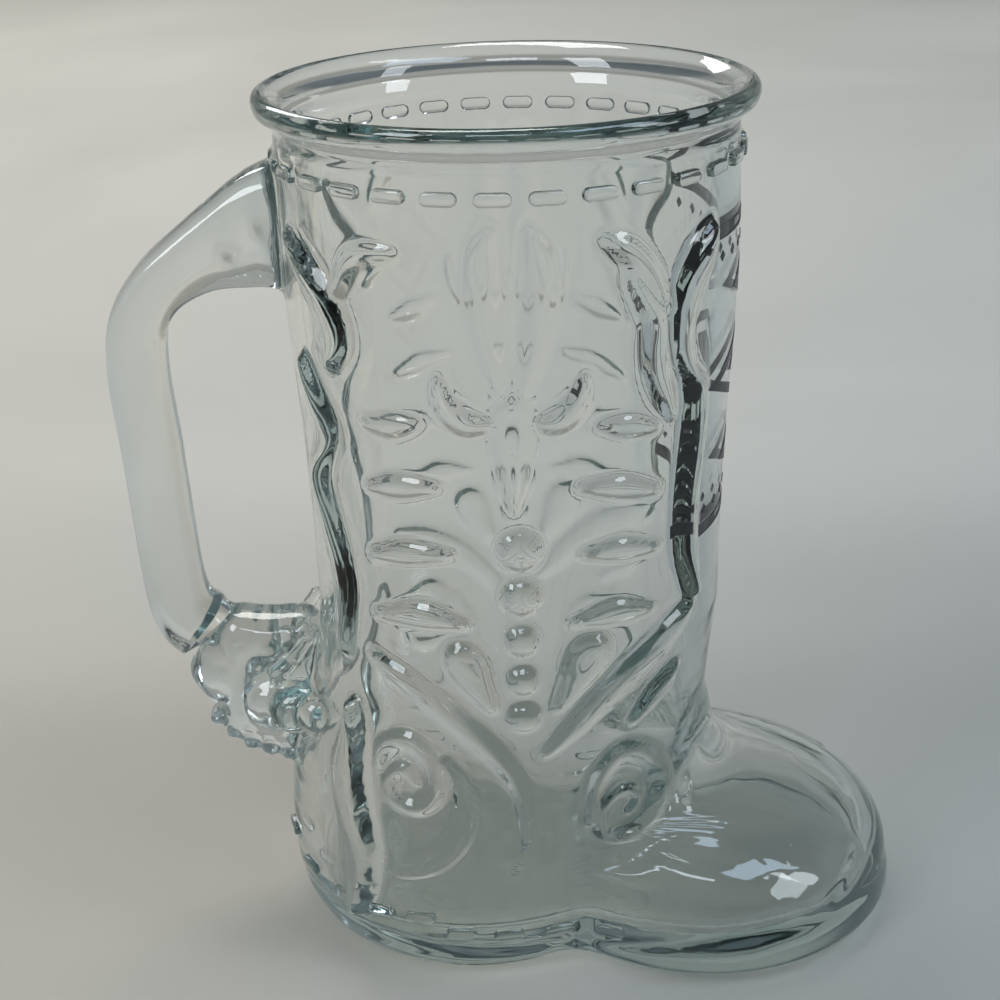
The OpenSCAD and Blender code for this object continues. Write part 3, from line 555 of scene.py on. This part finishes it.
handle = {
    # x, z, half of the depth, half of the width
    "line": [(-33.4, 129.6, 12.6, 8.6), (-39.7, 128.9, 10.4, 7.2), (-45.0, 127.3, 8.4, 6.4),
             (-52.1, 124.3, 6.0, 5.8), (-58.8, 119.6, 5.0, 5.8), (-62.95, 112.9, 4.9, 5.8),
             (-63.75, 103.4, 5.0, 5.8), (-62.9, 91.2, 5.0, 5.8), (-62.1, 76.0, 5.0, 5.8),
             (-61.2, 63.8, 5.1, 5.8), (-59.4, 58.6, 5.5, 5.9), (-56.2, 55.6, 6.0, 6.1)],
    "facets": 48, "steps": 5, "square": 0.56,
    # x, z, size and height of the swellings on the sides of the bar's upper end
    "lumps": [(-39.5, 133.0, 1.7, 0.8), (-43.2, 130.6, 1.5, 0.7), (-40.8, 126.6, 1.9, -0.8),
              (-45.6, 127.6, 1.4, 0.6), (-38.4, 121.4, 1.6, 0.8), (-47.0, 123.6, 1.6, -0.6),
              (-42.4, 122.2, 1.4, 0.6), (-37.6, 137.0, 1.8, 0.8)],
    "lumpFade": 4,
}
lowerRoot = {
    "outline": [(-36.5, 59.6), (-45.6, 59.0), (-53.0, 59.8), (-56.0, 56.6), (-57.4, 53.4), (-59.6, 50.4),
                (-60.0, 46.4), (-58.0, 42.6), (-55.2, 40.4), (-54.4, 37.0), (-51.6, 34.2), (-47.2, 32.2),
                (-42.5, 30.8), (-38.5, 30.2), (-37.0, 38.0), (-35.3, 49.6)],
    "steps": 4, "mid": (-37.0, 46.0),
    # x, z, radius and stretch across of the beads of the crimped edge
    "beads": [(-55.6, 37.8, 1.8, 2.52), (-53.0, 35.2, 1.9, 2.7), (-49.9, 33.2, 2.0, 2.7),
              (-46.5, 31.8, 2.0, 2.88), (-43.0, 30.8, 2.0, 2.88)],
    # x, y, z and radius of the lobe that runs out over the wall, and of the ridge above it
    "lobes": [(-43.9, 5.0, 43.0, 5.8), (-39.8, 8.6, 43.2, 5.2), (-35.6, 12.0, 43.6, 4.2),
              (-37.6, 9.6, 57.0, 1.5), (-38.9, 9.3, 55.2, 1.6), (-40.2, 9.0, 53.4, 1.7),
              (-41.6, 8.6, 51.6, 1.8), (-43.2, 8.2, 49.8, 1.8)],
    "lobeScale": (1.1, 0.85, 0.95), "beadFacets": (20, 12), "lobeFacets": (32, 20),
    # share of the half width, and share of the outline there
    "layers": [(-1, 0.5), (-0.93, 0.68), (-0.78, 0.83), (-0.5, 0.94), (-0.2, 1), (0.2, 1), (0.5, 0.94),
               (0.78, 0.83), (0.93, 0.68), (1, 0.5)],
    # x, z, size and depth of the dents and swellings on both sides
    "lumps": [(-54.8, 47.5, 2.6, -0.9), (-50.6, 53.6, 2.4, -0.8), (-44.6, 54.6, 2.2, -0.7),
              (-47.4, 50.8, 1.6, 0.8), (-54.2, 52.2, 1.7, 0.7), (-40.4, 52.0, 1.8, 0.8),
              (-52.0, 40.6, 1.8, -0.7), (-50.9, 36.4, 1.5, 0.6)],
    "lumpFade": 3, "half": 6.4, "voxel": 0.42, "smooth": 0.5, "rounds": 3, "keep": 0.2,
}


def lumpHeight(x, z, lumps):
    return sum(h * np.exp(-((x - lx) ** 2 + (z - lz) ** 2) / size ** 2) for lx, lz, size, h in lumps)


def buildHandle():
    line = curveThrough(handle["line"], handle["steps"])
    k = handle["facets"]
    a = np.arange(k) * 2 * math.pi / k
    rings, faces = [], []
    for i, (x, z, deep, wide) in enumerate(line):
        way = line[min(i + 1, len(line) - 1), :2] - line[max(i - 1, 0), :2]
        way /= np.linalg.norm(way)
        c = np.sign(np.cos(a)) * np.abs(np.cos(a)) ** handle["square"] * deep
        s = np.sign(np.sin(a)) * np.abs(np.sin(a)) ** handle["square"] * wide
        px, pz = x + way[1] * c, z - way[0] * c
        push = lumpHeight(px, pz, handle["lumps"]) * np.minimum(np.abs(s) / handle["lumpFade"], 1)
        rings.append(np.stack([px, s + np.sign(s) * push, pz], -1))
    for i in range(len(rings) - 1):
        faces += ringFaces(i * k, (i + 1) * k, k)
    faces.append(tuple(reversed(range(k))))
    faces.append(tuple(range((len(rings) - 1) * k, len(rings) * k)))
    bar = makeObject("handle", np.concatenate(rings), faces)
    outwardFaces(bar)
    return bar


def buildWeb():
    outline = curveThrough(lowerRoot["outline"] + lowerRoot["outline"][:1], lowerRoot["steps"])[:-1]
    mid = np.array(lowerRoot["mid"])
    n = len(outline)
    points, faces = [], []
    for level, share in lowerRoot["layers"]:
        for p in mid + (outline - mid) * share:
            points.append((p[0], level * lowerRoot["half"], p[1]))
    last = len(lowerRoot["layers"]) - 1
    for i in range(last):
        faces += ringFaces(i * n, (i + 1) * n, n)
    faces.append(tuple(reversed(range(n))))
    faces.append(tuple(range(last * n, (last + 1) * n)))
    return makeObject("lower_root", points, faces)


def addBall(x, y, z, r, scale, facets):
    place = (x * mm, y * mm, z * mm)
    columns, rows = facets
    bpy.ops.mesh.primitive_uv_sphere_add(segments=columns, ring_count=rows, radius=r * mm, location=place)
    ball = bpy.context.object
    ball.scale = scale
    return ball


def buildLowerRoot():
    # web, strap lobe and crimped edge, melted into one by a voxel remesh
    web = buildWeb()
    parts = [web]
    for x, z, r, stretch in lowerRoot["beads"]:
        parts.append(addBall(x, 0, z, r, (1, stretch, 1), lowerRoot["beadFacets"]))
    for side in (-1, 1):
        for x, y, z, r in lowerRoot["lobes"]:
            parts.append(addBall(x, side * y, z, r, lowerRoot["lobeScale"], lowerRoot["lobeFacets"]))
    bpy.ops.object.select_all(action="DESELECT")
    for part in parts:
        part.select_set(True)
    bpy.context.view_layer.objects.active = web
    bpy.ops.object.transform_apply(location=True, rotation=True, scale=True)
    bpy.ops.object.join()
    web.data.remesh_voxel_size = lowerRoot["voxel"] * mm
    bpy.ops.object.voxel_remesh()
    for v in web.data.vertices:
        x, y, z = v.co / mm
        push = math.copysign(lumpHeight(x, z, lowerRoot["lumps"]), y)
        v.co.y += push * min(abs(y) / lowerRoot["lumpFade"], 1) * mm
    applyModifier(web, "SMOOTH", factor=lowerRoot["smooth"], iterations=lowerRoot["rounds"])
    applyModifier(web, "DECIMATE", ratio=lowerRoot["keep"])
    outwardFaces(web)
    return web


def joinGlass(body, parts):
    for part in parts:
        applyModifier(body, "BOOLEAN", operation="UNION", solver="MANIFOLD", object=part)
        bpy.data.objects.remove(part)
    body.name = "glass_mug"
    body.data.name = "glass_mug"
    return body


glass = joinGlass(glassBody, [buildHandle(), buildLowerRoot(), buildStitches()])

# how sharp a crease is, in radians, where the handle's creases lie, and how they are melted
seam = {"angle": 0.5, "x": -36.5, "half": 10.5, "low": 24, "nearX": -32, "nearHalf": 14, "nearLow": 20,
        "nearHigh": 146, "width": 2.6, "rounds": 14, "strength": 0.6, "chunk": 2000,
        # the inner wall stays as it is, inside these radii
        "innerR": 34.9, "legInnerR": 35.3, "legFrom": 60}


def sharpPoints(mesh):
    # the ends of the sharp edges near the handle
    bm = bmesh.new()
    bm.from_mesh(mesh)
    sharp = np.zeros(len(mesh.vertices), bool)
    for e in bm.edges:
        if len(e.link_faces) == 2 and e.calc_face_angle(0) > seam["angle"]:
            x, y, z = e.verts[0].co / mm
            if x < seam["x"] and abs(y) < seam["half"] and z > seam["low"]:
                sharp[e.verts[0].index] = sharp[e.verts[1].index] = True
    bm.free()
    return sharp


def seamWeight(co, sharp):
    # 1 on the creases, 0 at their width away from them and on the inner wall
    x, y, z = co.T
    near = (x < seam["nearX"]) & (np.abs(y) < seam["nearHalf"])
    near = np.where(near & (z > seam["nearLow"]) & (z < seam["nearHigh"]))[0]
    gap = np.full(len(co), np.inf)
    for start in range(0, len(near), seam["chunk"]):
        k = near[start:start + seam["chunk"]]
        gap[k] = np.sqrt(((co[k][:, None] - co[sharp][None]) ** 2).sum(-1)).min(1)
    fromAxis = np.hypot(x, y)
    kept = (fromAxis < seam["innerR"]) | ((fromAxis < seam["legInnerR"]) & (z > seam["legFrom"]))
    return np.where(kept, 0, 1 - ease(gap / seam["width"]))


def softenJoins(obj):
    # melts the creases where the handle meets the wall
    mesh = obj.data
    count = len(mesh.vertices)
    co = np.empty(count * 3)
    mesh.vertices.foreach_get("co", co)
    co = co.reshape(-1, 3) / mm
    edges = np.empty(len(mesh.edges) * 2, int)
    mesh.edges.foreach_get("vertices", edges)
    edges = edges.reshape(-1, 2)
    weight = seamWeight(co, sharpPoints(mesh))
    degree = np.maximum(np.bincount(edges.ravel(), minlength=count), 1)[:, None]
    for _ in range(seam["rounds"]):
        total = np.zeros_like(co)
        np.add.at(total, edges[:, 0], co[edges[:, 1]])
        np.add.at(total, edges[:, 1], co[edges[:, 0]])
        co += (total / degree - co) * (weight * seam["strength"])[:, None]
    mesh.vertices.foreach_set("co", (co * mm).ravel())
    mesh.update()


softenJoins(glass)
onlySelect(glass)
bpy.ops.object.shade_smooth_by_angle(angle=math.radians(skin["smoothBelow"]))
print("glass mug:", countTriangles(glass), "triangles")


# print on the front: diamonds between two bars

frontPrint = {
    "low": 80.2, "height": 49.8, "turn": 67, "over": 0.12, "under": 0.08,
    # place up the print and size of each diamond, then its height, width and core as shares
    "diamonds": [(0.2, 0.6), (0.5, 1.0), (0.8, 0.6)], "tall": 0.3, "wide": 0.97, "core": 0.62, "line": 1.7,
    "bar": 2.2, "lowBar": 1.0, "highBar": 0.4,
    "dots": 9, "dot": 0.9, "dotSpread": 4.6, "lowDots": 3.6, "highDots": 3.2,
    # share left open at a plate's middle, the rings of its mesh, and the steps along its sides
    "middle": 0.02, "rings": (0, 0.33, 0.66, 1), "diamondSteps": 12, "barSteps": 16, "dotSteps": 2,
    "smoothBelow": 35,
}


def wrapFlat(points):
    # lays flat (arc length, height) places on the front of the leg
    p = np.array(points, float)
    r = legR(p[:, 1])
    a = p[:, 0] / r
    return np.stack([(r + p[:, 2]) * np.cos(a), (r + p[:, 2]) * np.sin(a), p[:, 1]], -1)


def turned(faces):
    return [tuple(reversed(f)) for f in faces]


def addPatch(points, faces, outer, inner=None):
    # a thin plate with the outline outer, or a frame between outer and inner
    start = len(points)
    n = len(outer)
    if inner is None:
        inner = outer.mean(0) + (outer - outer.mean(0)) * frontPrint["middle"]
    grid = [outer * (1 - t) + inner * t for t in frontPrint["rings"]]
    for lift in (frontPrint["over"], -frontPrint["under"]):
        for ring in grid:
            points.extend([(p[0], p[1], lift) for p in ring])
    rings = len(grid)
    for i in range(rings - 1):
        faces.extend(ringFaces(start + i * n, start + (i + 1) * n, n))
        faces.extend(turned(ringFaces(start + (rings + i) * n, start + (rings + i + 1) * n, n)))
    faces.extend(turned(ringFaces(start, start + rings * n, n)))
    faces.extend(ringFaces(start + (rings - 1) * n, start + (2 * rings - 1) * n, n))


def outline(corners, steps):
    pts = []
    for a, b in zip(corners, corners[1:] + corners[:1]):
        for t in range(steps):
            pts.append(np.array(a) + (np.array(b) - np.array(a)) * t / steps)
    return np.array(pts)


def buildPrint():
    points, faces = [], []
    half = math.radians(frontPrint["turn"] / 2) * boot["neckR"]
    low, high = frontPrint["low"], frontPrint["low"] + frontPrint["height"]
    for share, size in frontPrint["diamonds"]:
        mid = np.array([0, low + frontPrint["height"] * share])
        w, h = half * size * frontPrint["wide"], frontPrint["height"] * frontPrint["tall"] * size / 2
        corners = [(-w, mid[1]), (0, mid[1] - h), (w, mid[1]), (0, mid[1] + h)]
        big = outline(corners, frontPrint["diamondSteps"])
        k = 1 - frontPrint["line"] * math.hypot(w, h) / (w * h)
        addPatch(points, faces, big, mid + (big - mid) * k)
        addPatch(points, faces, mid + (big - mid) * k * frontPrint["core"])
    for z in (low - frontPrint["lowBar"], high - frontPrint["highBar"]):
        top = z + frontPrint["bar"]
        corners = [(-half, z), (half, z), (half, top), (-half, top)]
        addPatch(points, faces, outline(corners, frontPrint["barSteps"]))
    dot = frontPrint["dot"]
    for z in (low + frontPrint["lowDots"], high - frontPrint["highDots"]):
        for i in range(frontPrint["dots"]):
            x = (i - frontPrint["dots"] // 2) * half / frontPrint["dotSpread"]
            corners = [(x - dot, z), (x, z - dot), (x + dot, z), (x, z + dot)]
            addPatch(points, faces, outline(corners, frontPrint["dotSteps"]))
    obj = makeObject("front_enamel", wrapFlat(points), faces)
    onlySelect(obj)
    bpy.ops.object.shade_smooth_by_angle(angle=math.radians(frontPrint["smoothBelow"]))
    return obj


enamel = buildPrint()
print("front enamel:", len(enamel.data.polygons), "faces")


# materials

def nodeOf(tree, kind, inputs=None, **values):
    node = tree.nodes.new(kind)
    for key, value in values.items():
        setattr(node, key, value)
    setInputs(node, inputs or {})
    return node


def setInputs(node, inputs):
    for key, value in inputs.items():
        node.inputs[key].default_value = value


def wire(start, output, end, socket):
    start.id_data.links.new(start.outputs[output], end.inputs[socket])


def colourMix(tree, inputs, **values):
    return nodeOf(tree, "ShaderNodeMix", inputs, data_type="RGBA", **values)


def rangeOf(tree, start=(0, 1), end=(0, 1), **values):
    # a node that turns the range start into the range end
    inputs = {"From Min": start[0], "From Max": start[1], "To Min": end[0], "To Max": end[1]}
    return nodeOf(tree, "ShaderNodeMapRange", inputs, **values)


# how many slow waves and fine grains lie along a metre, and how much the grain counts
wavy = {"Wave Size": 55.0, "Grain Size": 900.0, "Grain Share": 0.01}


def wavinessGroup():
    # slow waves and faint mould marks, laid out in the object's own space
    group = bpy.data.node_groups.new("glassWaviness", "ShaderNodeTree")
    for name, value in wavy.items():
        socket = group.interface.new_socket(name, in_out="INPUT", socket_type="NodeSocketFloat")
        socket.default_value = value
    group.interface.new_socket("Height", in_out="OUTPUT", socket_type="NodeSocketFloat")
    group.interface.new_socket("Haze", in_out="OUTPUT", socket_type="NodeSocketFloat")
    given, out = nodeOf(group, "NodeGroupInput"), nodeOf(group, "NodeGroupOutput")
    where = nodeOf(group, "ShaderNodeTexCoord")
    wave = nodeOf(group, "ShaderNodeTexNoise", {"Detail": 2})
    grain = nodeOf(group, "ShaderNodeTexNoise", {"Detail": 3})
    mix = nodeOf(group, "ShaderNodeMix", data_type="FLOAT")
    wire(where, "Object", wave, "Vector")
    wire(where, "Object", grain, "Vector")
    wire(given, "Wave Size", wave, "Scale")
    wire(given, "Grain Size", grain, "Scale")
    wire(given, "Grain Share", mix, "Factor")
    wire(wave, "Fac", mix, "A")
    wire(grain, "Fac", mix, "B")
    wire(mix, "Result", out, "Height")
    wire(grain, "Fac", out, "Haze")
    return group


waviness = wavinessGroup()
glassLook = {"tint": (0.96, 0.968, 0.96, 1), "ior": 1.52, "wave": 0.00012, "hazeFrom": (0.35, 0.75),
             "haze": (0.006, 0.022), "depth": 22.0, "depthColour": (0.6, 0.72, 0.715, 1),
             "shadow": (0.6, 0.605, 0.595, 1)}
enamelLook = {"colour": (0.012, 0.013, 0.016, 1), "worn": (0.06, 0.062, 0.068, 1), "wornFrom": (0.55, 0.8),
              "waveSize": 160, "grainSize": 2600, "gloss": (0.28, 0.5), "grain": 0.00003}


def glassMaterial():
    mat = bpy.data.materials.new("clearGlass")
    mat.use_nodes = True
    tree = mat.node_tree
    shader = tree.nodes["Principled BSDF"]
    setInputs(shader, {"Base Color": glassLook["tint"], "Transmission Weight": 1, "IOR": glassLook["ior"]})
    marks = nodeOf(tree, "ShaderNodeGroup", node_tree=waviness)
    haze = rangeOf(tree, glassLook["hazeFrom"], glassLook["haze"])
    bump = nodeOf(tree, "ShaderNodeBump", {"Strength": 1, "Distance": glassLook["wave"]})
    absorbed = {"Color": glassLook["depthColour"], "Density": glassLook["depth"]}
    depth = nodeOf(tree, "ShaderNodeVolumeAbsorption", absorbed)
    wire(marks, "Haze", haze, "Value")
    wire(haze, "Result", shader, "Roughness")
    wire(marks, "Height", bump, "Height")
    wire(bump, "Normal", shader, "Normal")
    wire(depth, "Volume", tree.nodes["Material Output"], "Volume")
    # light that falls through the glass still reaches the table
    path = nodeOf(tree, "ShaderNodeLightPath")
    clear = nodeOf(tree, "ShaderNodeBsdfTransparent", {"Color": glassLook["shadow"]})
    either = nodeOf(tree, "ShaderNodeMixShader")
    wire(path, "Is Shadow Ray", either, "Fac")
    wire(shader, "BSDF", either, 1)
    wire(clear, "BSDF", either, 2)
    wire(either, "Shader", tree.nodes["Material Output"], "Surface")
    return mat


def enamelMaterial():
    mat = bpy.data.materials.new("firedEnamel")
    mat.use_nodes = True
    tree = mat.node_tree
    shader = tree.nodes["Principled BSDF"]
    marks = nodeOf(tree, "ShaderNodeGroup", node_tree=waviness)
    setInputs(marks, {"Wave Size": enamelLook["waveSize"], "Grain Size": enamelLook["grainSize"]})
    ramp = nodeOf(tree, "ShaderNodeValToRGB")
    looks = (enamelLook["colour"], enamelLook["worn"])
    for stop, place, look in zip(ramp.color_ramp.elements, enamelLook["wornFrom"], looks):
        stop.position = place
        stop.color = look
    gloss = rangeOf(tree, end=enamelLook["gloss"])
    bump = nodeOf(tree, "ShaderNodeBump", {"Distance": enamelLook["grain"]})
    wire(marks, "Haze", ramp, "Fac")
    wire(ramp, "Color", shader, "Base Color")
    wire(marks, "Height", gloss, "Value")
    wire(gloss, "Result", shader, "Roughness")
    wire(marks, "Height", bump, "Height")
    wire(bump, "Normal", shader, "Normal")
    return mat


glass.data.materials.clear()
glass.data.materials.append(glassMaterial())
enamel.data.materials.clear()
enamel.data.materials.append(enamelMaterial())

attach(glass, "root")
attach(enamel, "root")
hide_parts(*[name for name in frame["nodes"] if name != "front_print"])
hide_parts("front_print")
print("materials are on")


# table and backdrop: one pale sheet that curves up all round

stage = {
    # radii of the flat part, then the curve that rises round it, in metres
    "flat": (0.25, 0.6, 1.0, 1.5), "curve": 0.7, "turn": 0.4 * math.pi, "curveSteps": 10, "columns": 96,
    "drop": 0.00015, "roughness": 0.75, "specular": 0.2,
    # colour from left to right, lighter on the left and darker on the right as painted light and shade, over
    # a band whose half width grows with the distance
    "left": (0.54, 0.5, 0.43, 1), "right": (0.375, 0.39, 0.375, 1), "bandGrowth": 1.1, "bandHalf": 0.11,
    "bandLeast": 0.12,
    # painted shade at the front and painted light at the back, and slow clouds
    "alongY": (-0.12, 1.2), "brightest": 1.25,
    "levels": [(0, 0.56), (0.13, 0.65), (0.18, 0.75), (0.27, 0.9), (0.6, 1.06), (1, 1.25)],
    "clouds": {"Scale": 3.2, "Detail": 4, "Distortion": 0.8}, "cloudFrom": (0.3, 0.7), "cloud": (1.16, 1.31),
}


def tableColourAndPaintedLight(tree):
    # colour from left to right with painted light and shade, then painted shade from front to back
    where = nodeOf(tree, "ShaderNodeTexCoord")
    part = nodeOf(tree, "ShaderNodeSeparateXYZ")
    wire(where, "Object", part, "Vector")

    cloud = nodeOf(tree, "ShaderNodeTexNoise", stage["clouds"])
    cloudy = rangeOf(tree, stage["cloudFrom"], stage["cloud"])
    wire(where, "Object", cloud, "Vector")
    wire(cloud, "Fac", cloudy, "Value")

    # painted light on the left side of the table and painted shade on the right
    growth = {1: stage["bandGrowth"], 2: stage["bandHalf"]}
    widen = nodeOf(tree, "ShaderNodeMath", growth, operation="MULTIPLY_ADD")
    atLeast = nodeOf(tree, "ShaderNodeMath", {1: stage["bandLeast"]}, operation="MAXIMUM")
    mirror = nodeOf(tree, "ShaderNodeMath", {1: -1}, operation="MULTIPLY")
    across = rangeOf(tree, interpolation_type="SMOOTHSTEP")
    colour = colourMix(tree, {"A": stage["left"], "B": stage["right"]})
    wire(part, "Y", widen, 0)
    wire(widen, "Value", atLeast, 0)
    wire(atLeast, "Value", mirror, 0)
    wire(atLeast, "Value", across, "From Max")
    wire(mirror, "Value", across, "From Min")
    wire(part, "X", across, "Value")
    wire(across, "Result", colour, "Factor")

    # painted shade, darkest at the front and lightest at the back, times the slow clouds
    along = rangeOf(tree, stage["alongY"])
    steps = nodeOf(tree, "ShaderNodeValToRGB")
    steps.color_ramp.interpolation = "EASE"
    stops = steps.color_ramp.elements
    while len(stops) < len(stage["levels"]):
        stops.new(0.5)
    for stop, (place, value) in zip(stops, stage["levels"]):
        grey = value / stage["brightest"]
        stop.position = place
        stop.color = (grey, grey, grey, 1)
    level = nodeOf(tree, "ShaderNodeMath", operation="MULTIPLY")
    shade = colourMix(tree, {"Factor": 1}, blend_type="MULTIPLY")
    wire(part, "Y", along, "Value")
    wire(along, "Result", steps, "Fac")
    wire(cloudy, "Result", level, 0)
    wire(steps, "Color", level, 1)
    wire(colour, "Result", shade, "A")
    wire(level, "Value", shade, "B")
    return shade.outputs["Result"]


def tableMaterial():
    mat = bpy.data.materials.new("paleTable")
    mat.use_nodes = True
    shader = mat.node_tree.nodes["Principled BSDF"]
    setInputs(shader, {"Roughness": stage["roughness"], "Specular IOR Level": stage["specular"]})
    mat.node_tree.links.new(tableColourAndPaintedLight(mat.node_tree), shader.inputs["Base Color"])
    return mat


def buildTable():
    profile = [(r, 0) for r in stage["flat"]]
    for t in np.linspace(0, stage["turn"], stage["curveSteps"] + 1)[1:]:
        r = stage["flat"][-1] + stage["curve"] * math.sin(t)
        profile.append((r, stage["curve"] * (1 - math.cos(t))))
    n = stage["columns"]
    a = np.arange(n) * 2 * math.pi / n
    points = [(0, 0, -stage["drop"] / mm)]
    for r, z in profile:
        points.extend(ringPoints(r / mm, a, (z - stage["drop"]) / mm))
    faces = [(0, 1 + j, 1 + (j + 1) % n) for j in range(n)]
    for i in range(len(profile) - 1):
        faces += turned(ringFaces(1 + i * n, 1 + (i + 1) * n, n))
    sheet = makeObject("table", points, faces)
    onlySelect(sheet)
    bpy.ops.object.shade_smooth()
    sheet.data.materials.append(tableMaterial())


buildTable()


# light: a pale room with a few windows

def addWindow(name, place, aim, width, height, power, colour, through):
    data = bpy.data.lights.new(name, "AREA")
    data.shape = "RECTANGLE"
    data.size, data.size_y = width, height
    data.energy = power
    data.color = colour
    lamp = bpy.data.objects.new(name, data)
    lamp.location = place
    lamp.rotation_euler = (Vector(aim) - Vector(place)).to_track_quat("-Z", "Y").to_euler()
    lamp.visible_transmission = through
    bpy.context.collection.objects.link(lamp)


windows = [
    # name, place, aim, width, height, power, colour, and whether it shows through the glass
    ("windowLeft", (-1.0, -0.75, 1.05), (0, 0, 0.06), 0.5, 0.75, 11, (0.9, 0.95, 1.0), False),
    ("windowRight", (1.05, -0.45, 0.8), (0, 0, 0.06), 0.3, 0.55, 4, (0.86, 0.93, 1.0), True),
    ("windowToe", (0.68, -0.4, 1.27), (0.04, -0.02, 0.02), 0.9, 0.42, 8, (0.62, 0.79, 1.0), False),
    ("windowFront", (-0.1, -1.0, 1.25), (0, 0, 0.12), 0.6, 0.22, 4, (0.8, 0.88, 1.0), False),
    ("ceiling", (-0.2, 0.5, 1.7), (0, 0.1, 0), 0.9, 0.6, 16.5, (1.0, 0.985, 0.96), False),
    ("windowBack", (-0.6, 1.3, 0.9), (0, 0, 0.1), 0.5, 0.4, 4, (0.95, 0.98, 1.0), False),
]
for window in windows:
    addWindow(*window)

# plain is what lights the scene and mirrors in it, the others are seen through the glass
room = {"plain": (0.13, 0.135, 0.135, 1), "through": (0.115, 0.135, 0.15, 1), "left": (0.06, 0.08, 0.085, 1),
        "right": (0.27, 0.3, 0.33, 1), "behind": (0.36, 0.365, 0.345, 1), "middle": (0.35, 0.65),
        "behindFrom": (0.72, 0.92)}


def addRoom():
    world = bpy.data.worlds.new("room")
    world.use_nodes = True
    tree = world.node_tree
    where = nodeOf(tree, "ShaderNodeTexCoord")
    part = nodeOf(tree, "ShaderNodeSeparateXYZ")
    wire(where, "Generated", part, "Vector")

    side = rangeOf(tree, (-1, 1))
    ramp = nodeOf(tree, "ShaderNodeValToRGB")
    stops = ramp.color_ramp.elements
    stops[0].color = room["left"]
    stops[1].color = room["right"]
    for place in room["middle"]:
        stops.new(place).color = room["through"]
    wire(part, "X", side, "Value")
    wire(side, "Result", ramp, "Fac")

    behind = rangeOf(tree, room["behindFrom"], interpolation_type="SMOOTHSTEP")
    wall = colourMix(tree, {"B": room["behind"]})
    wire(part, "Y", behind, "Value")
    wire(behind, "Result", wall, "Factor")
    wire(ramp, "Color", wall, "A")

    path = nodeOf(tree, "ShaderNodeLightPath")
    colour = colourMix(tree, {"A": room["plain"]})
    wire(wall, "Result", colour, "B")
    wire(path, "Is Transmission Ray", colour, "Factor")
    wire(colour, "Result", tree.nodes["Background"], "Color")
    tree.nodes["Background"].inputs["Strength"].default_value = 1
    bpy.context.scene.world = world


addRoom()


# camera, fitted to the rim's oval and the ring of stitches in the photograph
# angles in degrees, distance and height in metres, lens and sensor in millimetres
view = {"distance": 0.29725, "height": 0.20362, "pitch": 22.8, "yaw": -0.55, "roll": -1.75, "turn": -0.56,
        "lens": 65.9, "sensor": 36}


def addCamera():
    pitch, yaw, roll, turn = [math.radians(view[k]) for k in ("pitch", "yaw", "roll", "turn")]
    forward = Vector((math.sin(yaw) * math.cos(pitch), math.cos(yaw) * math.cos(pitch), -math.sin(pitch)))
    right = Vector((math.cos(yaw), -math.sin(yaw), 0))
    up = right.cross(forward)
    side = right * math.cos(roll) + up * math.sin(roll)
    top = up * math.cos(roll) - right * math.sin(roll)
    data = bpy.data.cameras.new("camera")
    data.sensor_width = view["sensor"]
    data.lens = view["lens"]
    camera = bpy.data.objects.new("camera", data)
    bpy.context.collection.objects.link(camera)
    spin = Matrix.Rotation(turn, 3, "Z")
    place = spin @ Vector((0, -view["distance"], view["height"]))
    axes = Matrix((spin @ side, spin @ top, spin @ -forward)).transposed()
    camera.matrix_world = Matrix.Translation(place) @ axes.to_4x4()
    bpy.context.scene.camera = camera


addCamera()
print("scene is set")
